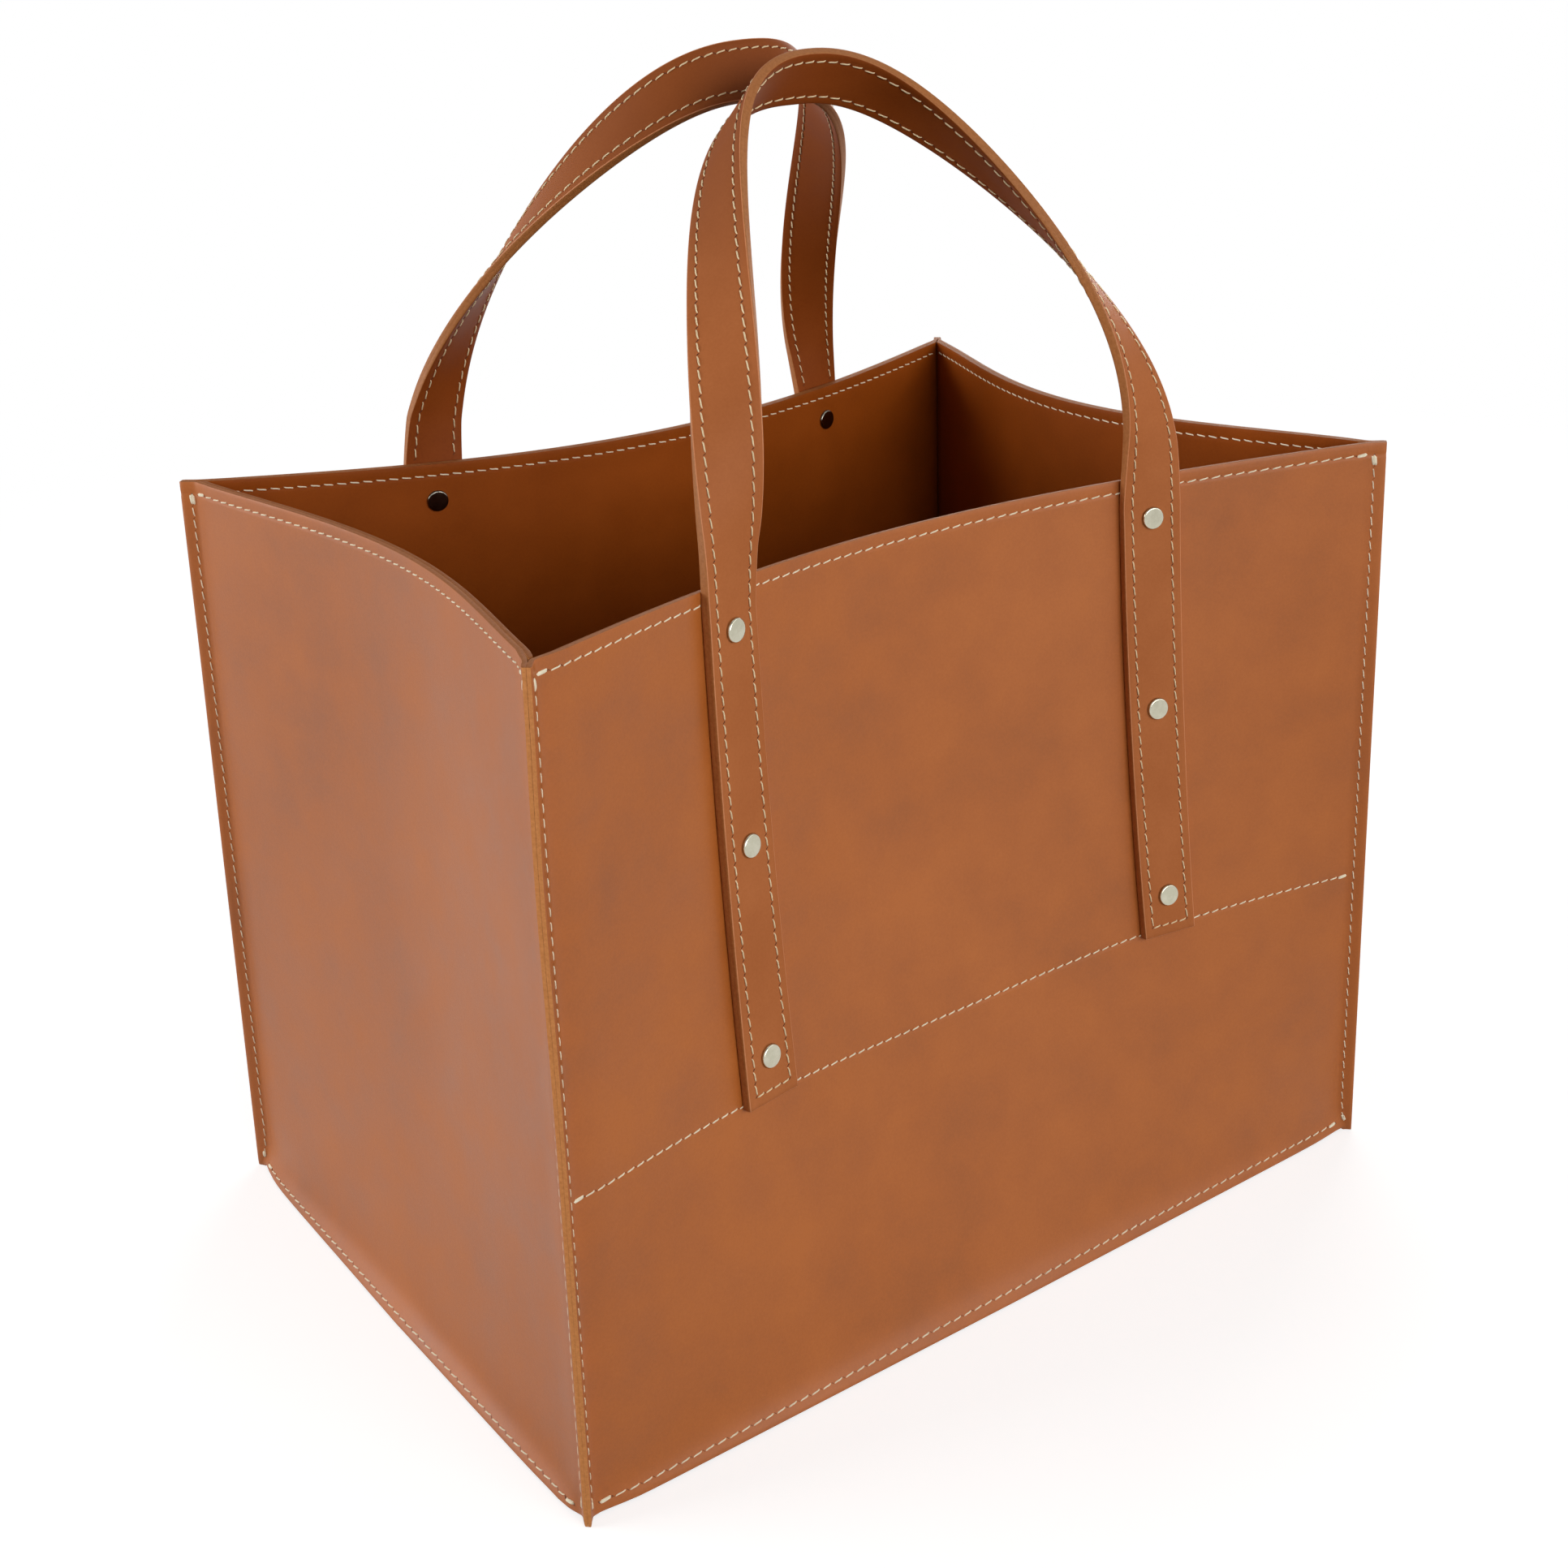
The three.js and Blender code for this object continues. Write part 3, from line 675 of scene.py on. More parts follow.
for side in walls:
    makeLining(side)
print("linings made")


# the plies are cemented together: thin fillings close the joints along the rims and the corner flanges
filling = {
    "depth": 3 * mm, "below": 0.04 * mm, "bite": 0.03 * mm, "step": 6 * mm,
    "finStart": 2.2 * mm, "finFloor": 2.5 * mm, "finSections": 90,
}

def closedTube(sections):
    # a box along a row of four-cornered sections
    n = 4 * len(sections)
    ends = [[3, 2, 1, 0], [n - 4, n - 3, n - 2, n - 1]]
    points = sections.reshape(-1, 3)
    return points, facingOut(points, np.concatenate([tubeQuads(len(sections), 4), ends]))

def rimFilling(side):
    wall, top = walls[side], bag["height"] - lining["low"][side] - filling["below"]
    outer, inner = bag["leather"] - filling["bite"], bag["leather"] + bag["gap"] + filling["bite"]
    x = np.linspace(-1, 1, int(2 * wall["half"] / filling["step"])) * liningEnd(wall, np.array(top), inner)
    low = top - filling["depth"]
    section = [(top, outer), (top, inner), (low, inner), (low, outer)]
    return turned(np.stack([wallPoint(wall, x, h, -depth) for h, depth in section], 1), wall["turn"])

def finFilling(one, other):
    # between the flanges of two walls: a slab on the plane in the middle of their outer faces
    h = np.linspace(filling["finFloor"], bag["height"] - filling["below"], filling["finSections"])
    sections = []
    for past in (filling["finStart"], bag["flange"] - filling["below"]):
        flanges = []
        for wall, hand in ((walls[one], -1), (walls[other], 1)):
            x = hand * (creaseAt(wall) + past) + 0 * h
            flanges.append(turned(shellWall(wall, x, h, False), wall["turn"]))
        first, second = flanges
        apart = np.linalg.norm(second - first, axis=1, keepdims=True)
        half = (apart / 2 - bag["leather"] + filling["bite"]) * (second - first) / apart
        sections.append(((first + second) / 2, half))
    (a, p), (b, q) = sections
    return np.stack([a - p, a + p, b + q, b - q], 1)

def makeFilling():
    order = ["front", "left", "back", "right"]
    tubes = [rimFilling(side) for side in order]
    tubes += [finFilling(one, other) for one, other in zip(order, order[1:] + order[:1])]
    parts, count = [], 0
    for sections in tubes:
        points, quads = closedTube(sections)
        parts.append((settled(pinched(points)), quads + count))
        count += len(points)
    points, quads = (np.concatenate(part) for part in zip(*parts))
    dress(makeMesh("joint_cement", points, quads, [cement]), "bag", "outer_leather")

makeFilling()
print("joints filled")


# the sling in the base: down the back lining, over the board and up the front lining
sling = {
    "bend": 6 * mm, "floor": 5.5 * mm, "columns": 60, "rowStep": 7 * mm, "bendSteps": 8, "floorSteps": 29,
    "edge": 4.5 * mm,   # above the seam
}

def makeSling():
    depth = 2 * bag["leather"] + 2 * bag["gap"]
    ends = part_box("base_sling")
    x = np.linspace(ends[0][0], ends[1][0], sling["columns"])
    top = seam["height"] + sling["edge"]
    h = refined(sling["floor"] + sling["bend"], top, sling["rowStep"], [seam["height"]])[::-1]
    t = np.linspace(0, 1, sling["bendSteps"] + 1)[1:, None, None]
    rows = {}
    for side, sign in (("front", 1), ("back", -1)):
        wall = walls[side]
        xs, hs = np.meshgrid(x * sign, h)
        upright = wallPoint(wall, xs, alongSeam(xs, hs), -depth)
        start = upright[-1]
        corner = start * [1, 1, 0] + [0, 0, sling["floor"]]
        corner[:, 1] = wallPoint(wall, x * sign, sling["floor"], -depth)[:, 1]
        bend = quadratic(start, corner, corner + [0, sling["bend"], 0], t)
        rows[side] = turned(np.concatenate([upright, bend]), wall["turn"])
    floor = between(rows["front"][-1], rows["back"][-1], sling["floorSteps"])
    points = np.concatenate([rows["front"], floor, rows["back"][::-1]])
    obj = leatherSheet("base_sling_leather", points, None, [shadedLiningLeather, liningEdge])
    dress(obj, "bag", "lining_leather", "base_sling")

makeSling()
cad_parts["base_board"].data.materials.clear()
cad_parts["base_board"].data.materials.append(fibreboard)
print("sling made")


# the straps: riveted ends on the long walls and a free arch between them, each of two plies
strap = {
    "width": 27 * mm, "spacing": 224 * mm, "tail": 216 * mm, "step": 2.5 * mm, "round": 0.5 * mm,
    "stitchInset": 4.2 * mm, "endStitch": 3.6 * mm,
    "furrow": 0.18 * mm, "furrowWidth": 0.9 * mm, "groove": 0.03 * mm, "grooveHalf": 0.3 * mm,
    "furrowReach": 1.6 * mm, "faceShares": (0.3, 0.1),   # where the section's points lie on a face
    "tailTop": 10 * mm, "tailRows": 24,       # the tail's rows end below the rim
    "archFoot": 9 * mm, "archRows": 34,       # the arch's rows start above it
    "archEase": 0.6,                          # rows closer together towards the rim
    "endRound": 0.7,                          # the ends are a little less round than the edges
    "insideFrom": 0.5 * mm,                   # the inner stitch rows start above the rim
}
archShapes = {
    "front": {"rise": 174 * mm, "lean": 96.5 * mm, "out": 8 * mm, "forward": 13 * mm,
              "tilt": np.radians(54.5), "twist": np.radians(-28),
              "side": 0.82, "drop": 1.6, "straighten": 2.63, "turn": 0.76, "hinge": -0.1227},
    "back": {"rise": 175 * mm, "lean": 111 * mm, "out": 2.5 * mm, "forward": 8 * mm,
             "tilt": np.radians(66.5), "twist": np.radians(-18),
             "side": 0.74, "drop": 1.85, "straighten": 3.23, "turn": 0.6, "hinge": 0.1301},
}
strapMiddle = bag["gap"] * 1.5 + bag["leather"]   # from the wall's face to the middle of the plies
strapHalf = bag["gap"] / 2 + bag["leather"]

def rimHeight(wall):
    # of the leather's rim, at a strap's outer edge
    return wallSurface(wall, np.array((strap["spacing"] + strap["width"]) / 2), np.array(bag["height"]))[2]

def archCurve(side, angle):
    # x = end sin^side + out w, y = end + lean cos^straighten - forward w, z = rim + rise cos^drop,
    # with w = (2 sin cos)^2 sin^2; angle 0 is the top and a quarter turn is the rim
    wall, shape = walls[side], archShapes[side]
    s, c = np.sin(angle), np.maximum(np.cos(angle), 0)
    swell = (2 * s * c * s) ** 2
    end = wallPoint(wall, strap["spacing"] / 2, bag["height"], strapMiddle)
    return np.stack([
        end[0] * s ** shape["side"] + shape["out"] * swell,
        end[1] + shape["lean"] * c ** shape["straighten"] - shape["forward"] * swell,
        rimHeight(wall) + shape["rise"] * c ** shape["drop"],
    ], -1)

def archFrames(side, angle):
    # the width direction turns from facing up at the top to lying along the wall at the rim: by
    # pi - tilt + (pi / 2 + tilt + rim) sin^(2 turn) + twist (2 sin cos)^2 about the arch's own line
    wall, shape = walls[side], archShapes[side]
    e = 1e-4
    along = archCurve(side, angle + e) - archCurve(side, np.maximum(angle - e, 0))
    along[angle < 1e-3] = [1, 0, 0]
    along = normalized(along)
    s, c = np.sin(angle), np.cos(angle)
    normal = wallNormal(wall, np.array(strap["spacing"] / 2), np.array(bag["height"]))
    quarter = np.pi / 2 + shape["tilt"] + np.arctan2(-normal[0], -normal[1])
    turn = np.pi - shape["tilt"] + quarter * s ** (2 * shape["turn"]) + shape["twist"] * (2 * s * c * s) ** 2
    depthward = normalized(np.array([0, 1.0, 0]) - along * along[:, 1:2])
    sideways = np.cross(along, depthward)
    across = np.cos(turn)[:, None] * depthward + np.sin(turn)[:, None] * sideways
    return archCurve(side, angle), across, np.cross(across, along)

def smoothPath(rows, step):
    # a cubic through rows of points, spaced by the length of the middle line: at each row it runs in the
    # direction from the row before to the row after
    s = runAlong(rows.mean(1))
    at = np.linspace(0, s[-1], int(round(s[-1] / step)) + 1)
    k = np.clip(np.searchsorted(s, at, side="right") - 1, 0, len(s) - 2)
    width = (s[k + 1] - s[k])[:, None, None]
    t = ((at - s[k]) / (s[k + 1] - s[k]))[:, None, None]
    slopes = np.empty_like(rows)
    slopes[1:-1] = (rows[2:] - rows[:-2]) / (s[2:] - s[:-2])[:, None, None]
    slopes[0] = (rows[1] - rows[0]) / (s[1] - s[0])
    slopes[-1] = (rows[-1] - rows[-2]) / (s[-1] - s[-2])
    start = (2 * t ** 3 - 3 * t ** 2 + 1) * rows[k] + (t ** 3 - 2 * t ** 2 + t) * (slopes[k] * width)
    end = (3 * t ** 2 - 2 * t ** 3) * rows[k + 1] + (t ** 3 - t ** 2) * (slopes[k + 1] * width)
    return start + end, at

def strapRows(side, across, out):
    # rows of points from the left end to the right end; across runs towards the middle of the arch, out
    # away from the wall
    wall, x0 = walls[side], strap["spacing"] / 2
    across, out = np.asarray(across, float), np.asarray(out, float)
    foot, top = bag["height"] - strap["tail"], bag["height"] - strap["tailTop"]
    h, b = np.meshgrid(np.linspace(foot, top, strap["tailRows"]), across, indexing="ij")
    n = np.broadcast_to(out, h.shape) + strapMiddle
    leftTail = wallPoint(wall, -x0 + b, h, n)
    rightTail = wallPoint(wall, x0 - b, h, n)[::-1]
    angle = np.pi / 2 * (1 - (1 - np.linspace(0, 1, strap["archRows"])) ** strap["archEase"])
    angle = angle[archCurve(side, angle)[:, 2] > rimHeight(wall) + strap["archFoot"]]
    place, width, outward = archFrames(side, angle)
    half = place[:, None] + width[:, None] * across[None, :, None] + outward[:, None] * out[None, :, None]
    mirrored = half[1:][::-1] * [-1, 1, 1]
    return turned(np.concatenate([leftTail, mirrored, half, rightTail]), wall["turn"])

def strapRing():
    # the strap's section as a ring of (across, out) points, with the slot of each side: furrowed faces,
    # rounded corners painted lighter as a highlight, edges with the plies' fine joint
    w, top, r = strap["width"] / 2, strapHalf, strap["round"]
    line = w - strap["stitchInset"]
    near = np.linspace(1, -1, 5) * strap["furrowReach"]
    half = np.concatenate([[w - r], line + near, np.array(strap["faceShares"]) * w])
    flat = np.concatenate([-half, half[::-1]])
    face = strapHalf - furrow(np.abs(flat) - line, strap["furrow"], strap["furrowWidth"])
    k, joint = r * (1 - np.sqrt(0.5)), strap["grooveHalf"]
    side = np.array([(w - k, top - k), (w, top - r), (w, joint), (w - strap["groove"], joint / 3)])
    side = np.concatenate([side, side[::-1] * [1, -1]])
    ring = np.concatenate([np.stack([flat, face], 1), side, np.stack([flat[::-1], -face[::-1]], 1), -side])
    f, e = len(flat), len(side)
    # outside, corner with a painted highlight, edge, inside in a darker copy for painted shade, edge, corner
    slots = np.repeat([0, 3, 1, 2, 1, 3], [f - 1, 1, e - 1, f + 1, e - 1, 1])
    return ring, slots, f, e

def ringCaps(flat, side):
    # quads across the section: face point to face point, then each edge folded onto itself
    total = 2 * (flat + side)
    i = np.arange(flat - 1)
    across = np.stack([i, i + 1, 2 * flat + side - 2 - i, 2 * flat + side - 1 - i], 1)
    j = np.arange(-1, side // 2 - 1)
    right = np.stack([flat + j, flat + j + 1, flat + side - 2 - j, flat + side - 1 - j], 1)
    left = (right + flat + side) % total
    return np.concatenate([across, right, left])[:, ::-1]

def makeStrap(side):
    ring, sides, flat, edge = strapRing()
    rows, _ = smoothPath(strapRows(side, ring[:, 0], ring[:, 1]), strap["step"])
    r = strap["round"] * strap["endRound"]
    small = ring * [1 - 2 * r / strap["width"], 1 - r / ring[:, 1].max()]
    ends, _ = smoothPath(strapRows(side, small[:, 0], small[:, 1]), strap["step"])
    first, last = (normalized(rows[k] - rows[j]) * r for j, k in ((0, 1), (-2, -1)))
    rows = np.concatenate([ends[:1], rows[:1] + first, rows[1:-1], rows[-1:] - last, ends[-1:]])
    n, m = rows.shape[:2]
    slots = np.broadcast_to(sides, (n - 1, m)).copy()
    # the rows round the ends get the corner's painted highlight too
    slots[[0, -1]] = 3
    caps = ringCaps(flat, edge)
    slots = np.concatenate([slots.ravel(), np.ones(2 * len(caps))])
    points = rows.reshape(-1, 3)
    quads = facingOut(points, np.concatenate([tubeQuads(n, m), caps, caps[:, ::-1] + (n - 1) * m]))
    rise = np.clip((rows.mean(1)[:, 2] - bag["height"]) / archShapes[side]["rise"], 0, 1)
    uv = np.stack(np.broadcast_arrays(np.linspace(0, 1, m)[None, :], rise[:, None]), -1)
    # the corner finish is a painted highlight, the inside a darker copy for painted shade
    finishes = [strapLeather, strapEdge, shadedStrapInside, strapCornerHighlight]
    obj = shadeSmooth(makeMesh(f"{side}_strap", points, quads, finishes, slots, uv), 1.0)
    tails = [f"{side}_{end}_tail_{ply}" for end in ("left", "right") for ply in ("inner", "outer")]
    dress(obj, None, "strap_leather", f"{side}_strap_inner_loop", f"{side}_strap_outer_loop", *tails)
    blendAtRim(obj)

def blendAtRim(obj):
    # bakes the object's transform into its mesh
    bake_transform(obj)

for side in ("front", "back"):
    makeStrap(side)
print("straps made")


# stitches: each one is a short slanted thread that dives into its two needle holes
stitch = {
    "pitch": 5.9 * mm, "seamPitch": 5.1 * mm, "finPitch": 5.7 * mm,
    "strapPitch": 5.75 * mm, "endPitch": 4.6 * mm,
    "radius": 0.34 * mm, "finRadius": 0.27 * mm,
    "visible": 0.82,           # how much of a pitch is thread
    "lift": 0.16 * mm, "dive": 1.2,          # off the leather, and how many radii into it
    "slant": 1.25 * mm, "hook": 0.75,
    "endSize": 0.6, "tipSize": 0.05, "twist": 26,
    "rings": 8, "sides": 6,
}
hole = {"width": 0.14 * mm, "share": 0.9, "above": 0.04 * mm, "below": 0.15 * mm, "sides": 8}
tackLook = {"shift": (-0.42, 0.05, 0.4), "ahead": (0.3, -0.1, 0.5), "narrow": 0.7, "drift": 0.6,
            "skewBack": 0.2 * mm, "skew": 0.35 * mm, "thick": 1.3, "holeHalf": 0.6 * mm, "holePast": 0.4 * mm}

def stitchMesh(starts, ends, normals, sideways, radius):
    # centre line, with v = 2 u - 1: start + (end - start) u + normal ((1 - |v|^5) (lift + dive) - dive)
    # + sideways hook (v^3 - v); it runs along its row, hooks over at both ends and thins to its holes
    rings, sides, dive = stitch["rings"], stitch["sides"], stitch["dive"] * radius
    u = np.linspace(0, 1, rings)
    v = 2 * u - 1
    arch = (1 - np.abs(v) ** 5) * (stitch["lift"] + dive) - dive
    line = starts[:, None] + (ends - starts)[:, None] * u[None, :, None]
    line = line + normals[:, None] * arch[None, :, None]
    line = line + sideways[:, None] * (stitch["hook"] * (v ** 3 - v))[None, :, None]
    along = normalized(np.gradient(line, axis=1))
    side = normalized(np.cross(along, normals[:, None]))
    up = np.cross(side, along)
    fuller = np.sin(np.pi * np.clip(u * 0.86 + 0.07, 0, 1)) ** 0.5
    size = radius * (stitch["endSize"] + (1 - stitch["endSize"]) * fuller)
    size[[0, -1]] = radius * stitch["tipSize"]
    angle = around(sides)
    c, s = (f(angle)[None, None, :, None] for f in (np.cos, np.sin))
    points = line[:, :, None] + (c * side[:, :, None] + s * up[:, :, None]) * size[None, :, None, None]
    caps = np.array([[0, 1, sides - 2, sides - 1], [1, 2, sides - 3, sides - 2]])
    one = np.concatenate([tubeQuads(rings, sides), caps[:, ::-1], caps + (rings - 1) * sides])
    one = facingOut(points[0].reshape(-1, 3), one)
    turns = u[None, :, None] * stitch["twist"] + np.zeros((len(starts), 1, 1))
    uv = np.stack(np.broadcast_arrays(angle[None, None, :], turns), -1)
    return points.reshape(-1, 3), copied(one, len(starts), rings * sides), uv.reshape(-1, 2)

def holeMesh(places, normals, alongs, length):
    # a needle hole: a small dark lens of painted shade, pulled long the way the thread pulls
    sides, angle = hole["sides"], around(hole["sides"])[None, :, None]
    across = normalized(np.cross(normals, alongs))
    wide = np.sin(angle) * across[:, None] * hole["width"]
    rim = places[:, None] + np.cos(angle) * alongs[:, None] * length + wide
    ends = [rim + normals[:, None] * hole["above"], rim - normals[:, None] * hole["below"]]
    points = np.concatenate(ends, 1).reshape(-1, 3)
    cap = np.array([[0, 3, 2, 1], [0, 5, 4, 3], [0, 7, 6, 5]])
    one = np.concatenate([tubeQuads(2, sides)[:, ::-1], cap[:, ::-1], cap + sides])
    return points, copied(one, len(places), 2 * sides), np.zeros((len(points), 2))

def readAlong(s, values, at):
    return np.stack([np.interp(at, s, values[:, i]) for i in range(values.shape[1])], 1)

class Threads:
    # gathers stitches and needle holes until they are made into one mesh
    def __init__(self):
        self.parts, self.count = [], 0

    def add(self, mesh, slot):
        points, quads, uv = mesh
        self.parts.append((points, quads + self.count, uv, np.full(len(quads), slot)))
        self.count += len(points)

    def row(self, line, normals, pitch, slant=1.0, radius=stitch["radius"], holes=slice(None)):
        # whole stitches from one end of a line to the other, all slanted the same way round the normal;
        # holes picks which of its needle holes are made
        s = runAlong(line)
        count = max(int(round(s[-1] / pitch)), 1)
        ticks = np.linspace(0, s[-1], count + 1)
        at, n = readAlong(s, line, ticks), normalized(readAlong(s, normals, ticks))
        along = normalized(np.gradient(at, axis=0))
        across = np.cross(n, along) * stitch["slant"] / 2 * slant
        spare = s[-1] / count * (1 - stitch["visible"]) / 2
        starts = at[:-1] + along[:-1] * spare - across[:-1]
        ends = at[1:] - along[1:] * spare + across[1:]
        sideways = (across[:-1] + across[1:]) / 2
        self.add(stitchMesh(starts, ends, normalized(n[:-1] + n[1:]), sideways, radius), 0)
        pull = along * spare - across
        length = np.linalg.norm(pull, axis=1).mean() * hole["share"]
        self.add(holeMesh(at[holes], n[holes], normalized(pull)[holes], length), 1)

    def tack(self, start, direction, normal, length, spread):
        # three short threads side by side where a row of stitches was locked
        look = tackLook
        across = np.cross(normal, direction)
        shift = across * np.array(look["shift"])[:, None] * mm * spread
        ahead = np.array(look["ahead"])[:, None] * mm
        starts = start + shift + direction * ahead - across * look["skewBack"]
        reach = direction * (length + ahead * look["drift"])
        ends = start + shift * look["narrow"] + reach + across * look["skew"]
        normals = np.broadcast_to(normal, starts.shape)
        radius = stitch["radius"] * look["thick"] * spread ** 0.5
        self.add(stitchMesh(starts, ends, normals, 0 * starts, radius), 0)
        places = np.array([start, start + direction * (length + look["holePast"])])
        self.add(holeMesh(places, normals[:2], np.broadcast_to(across, (2, 3)), look["holeHalf"]), 1)

    def build(self, name, thread):
        points, quads, uv, slots = (np.concatenate(part) for part in zip(*self.parts))
        points = settled(pinched(points))
        return shadeSmooth(makeMesh(name, points, quads, [thread, holeShade], slots, uv), 1.2)

# the bag's rows: how far short of the crease each one stops, and the tacks at its ends
bagRows = {
    "clear": 0.6 * mm, "innerClear": 5 * mm, "foldClear": 2.4 * mm, "slingClear": 4 * mm, "finFloor": 5 * mm,
    "tacks": [(0, 5 * mm, 1.0), (-1, 5 * mm, 1.0)],       # which end, length, spread
    "finTacks": [(0, 5 * mm, 1.8), (-1, 3 * mm, 1.2)],
    "along": 200, "up": 120,
    "inward": {"slant": -0.9, "flip": -1},                # a row seen from its other side
}

def surfaceRow(threads, wall, surface, x, h, pitch=stitch["pitch"], slant=1.0, tacks=(), flip=1,
               radius=stitch["radius"]):
    # a row along x and h on a surface of them, with the tacks that lock it
    line = turned(surface(x, h), wall["turn"])
    normal = turned(normalized(crossNormal(surface, x, h, 0.3 * mm)) * flip, wall["turn"])
    threads.row(line, normal, pitch, slant, radius)
    for end, length, spread in tacks:
        after = 3 if end == 0 else -4
        threads.tack(line[end], normalized(line[after] - line[end]), normalized(normal[end]), length, spread)

def makeBagThreads():
    threads, inward = Threads(), Threads()
    inner = -(2 * bag["leather"] + bag["gap"] - lining["furrow"])
    slingFace = -(3 * bag["leather"] + 2 * bag["gap"])
    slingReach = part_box("base_sling")[1][0] - bagRows["slingClear"]
    for side, wall in walls.items():
        seamed = side in ("front", "back")
        outside = lambda x, h: shellFace(wall, x, h, seamed)
        inside = lambda x, h: wallPoint(wall, x, h, inner)
        onSling = lambda x, h: wallPoint(wall, x, h, slingFace)
        flange = lambda x, h: shellWall(wall, x, h, False)
        edge = creaseAt(wall) - bagRows["clear"]
        x = np.linspace(-edge, edge, bagRows["along"])
        surfaceRow(threads, wall, outside, x, rimLine + 0 * x, tacks=bagRows["tacks"])
        inShort, foldShort = (x * (1 - bagRows[key] / edge) for key in ("innerClear", "foldClear"))
        surfaceRow(inward, wall, inside, inShort, rimLine + 0 * x, **bagRows["inward"])
        surfaceRow(threads, wall, outside, foldShort, wall["foldStitch"] + 0 * x, tacks=bagRows["tacks"])
        if seamed:
            surfaceRow(threads, wall, outside, x, seamAt(x), stitch["seamPitch"], tacks=bagRows["tacks"])
            within = x * slingReach / edge
            surfaceRow(inward, wall, onSling, within, seamAt(within), stitch["seamPitch"],
                       **bagRows["inward"])
        h = np.linspace(rimLine, bagRows["finFloor"], bagRows["up"])
        for hand in (-1, 1):
            x = hand * (creaseAt(wall) + shell["finStitch"]) + 0 * h
            surfaceRow(threads, wall, flange, x, h, stitch["finPitch"], tacks=bagRows["finTacks"],
                       radius=stitch["finRadius"])
    dress(threads.build("bag_thread", cream), "bag", "outer_leather")
    dress(inward.build("lining_thread", cream), "bag", "lining_leather")

makeBagThreads()

def strapRow(threads, side, across, face):
    # a row on one face of a strap: outside from end to end, inside only above the rim
    out = [face * strapHalf, face * (strapHalf + mm)]
    rows, at = smoothPath(strapRows(side, [across, across], out), strap["step"])
    line, normal = rows[:, 0], normalized(rows[:, 1] - rows[:, 0])
    if face < 0:
        kept = line[:, 2] > rimHeight(walls[side]) + strap["insideFrom"]
    else:
        kept = (at > strap["endStitch"]) & (at < at[-1] - strap["endStitch"])
    threads.row(line[kept], normal[kept], stitch["strapPitch"])
    return line[kept], normal[kept]

def makeStrapThreads():
    b = strap["width"] / 2 - strap["stitchInset"]
    for side in ("front", "back"):
        threads = Threads()
        (left, normals), (right, _) = (strapRow(threads, side, across, 1) for across in (-b, b))
        for end in (0, -1):
            t = np.linspace(0, 1, 12)[:, None]
            across = left[end] * (1 - t) + right[end] * t
            facing = np.broadcast_to(normals[end], across.shape)
            threads.row(across, facing, stitch["endPitch"], holes=slice(1, -1))
        for across in (-b, b):
            strapRow(threads, side, across, -1)
        # the straps' threads in the darker copy of the cream: painted shade
        obj = threads.build(f"{side}_strap_thread", shadedCream)
        dress(obj, None, "strap_leather")
        blendAtRim(obj)

makeStrapThreads()
print("threads made")


# rivets: turned caps, polished, three in each strap end
rivet = {
    "count": 3, "top": 18 * mm, "bottom": 197 * mm,    # the highest and lowest below the rim
    "cap": {"radius": 5 * mm, "height": 1.5 * mm, "metal": nickel},
    # the heads inside are in the darker copy of the nickel: painted dark reflection
    "back": {"radius": 5.1 * mm, "height": 1.4 * mm, "metal": shadedNickel},
    "shoulder": 0.86, "dome": 0.12 * mm, "foot": 0.25 * mm, "footIn": 0.1 * mm, "pole": 0.02 * mm,
    "sides": 48,
}

def lathe(profile, sides):
    # points at radius (cos, sin) and height of each profile point
    angle = around(sides)
    r, z = profile[:, 0][:, None], profile[:, 1][:, None]
    points = np.stack([r * np.cos(angle), r * np.sin(angle), z + 0 * angle], -1)
    k = np.arange(sides // 2 - 1)
    pole = np.stack([k, k + 1, sides - 2 - k, sides - 1 - k], 1)
    quads = [tubeQuads(len(profile), sides), pole[:, ::-1], pole + (len(profile) - 1) * sides]
    return points.reshape(-1, 3), np.concatenate(quads)

def capProfile(radius, height, under):
    # a flat dome with a rolled rim, from the middle of its top to the middle of its underside
    a, t = np.linspace(0, np.pi / 2, 9), np.linspace(0, 1, 8)
    pole, shoulder, roll = rivet["pole"], radius * rivet["shoulder"], height - rivet["dome"] - rivet["foot"]
    top = np.stack([pole + (shoulder - pole) * t, under + height - rivet["dome"] * t ** 2], 1)
    rim = np.stack([shoulder + (radius - shoulder) * np.sin(a), under + rivet["foot"] + roll * np.cos(a)], 1)
    foot = np.array([[radius - rivet["footIn"], under], [pole, under]])
    return np.concatenate([top, rim[1:], foot])

def makeRivet(name, wall, x, h, part, under, flip):
    # a head on the wall's normal, its underside at that distance from the outer face
    look = rivet[part]
    normal = wallNormal(wall, np.array(x), np.array(h))
    level = normalized(np.cross([0, 0, 1.0], normal))
    steep = np.cross(normal, level)
    points, quads = lathe(capProfile(look["radius"], look["height"], under), rivet["sides"])
    placed = points[:, :1] * level + points[:, 1:2] * steep + points[:, 2:] * normal * flip
    placed = turned(wallSurface(wall, np.array(x), np.array(h)) + placed, wall["turn"])
    obj = makeMesh(f"{name}_{part}_head", placed, facingOut(placed, quads), [look["metal"]])
    dress(shadeSmooth(obj, 1.0), "bag", "nickel", f"{name}_{part}")

def makeRivets():
    heights = bag["height"] - np.linspace(rivet["top"], rivet["bottom"], rivet["count"])
    for side in ("front", "back"):
        for hand in (-1, 1):
            end = "left" if (hand < 0) == (side == "front") else "right"
            for i, h in enumerate(heights):
                name, x = f"{side}_{end}_rivet_{i + 1}", hand * strap["spacing"] / 2
                makeRivet(name, walls[side], x, h, "cap", strapMiddle * 2, 1)
                makeRivet(name, walls[side], x, h, "back", 2 * bag["leather"] + bag["gap"], -1)

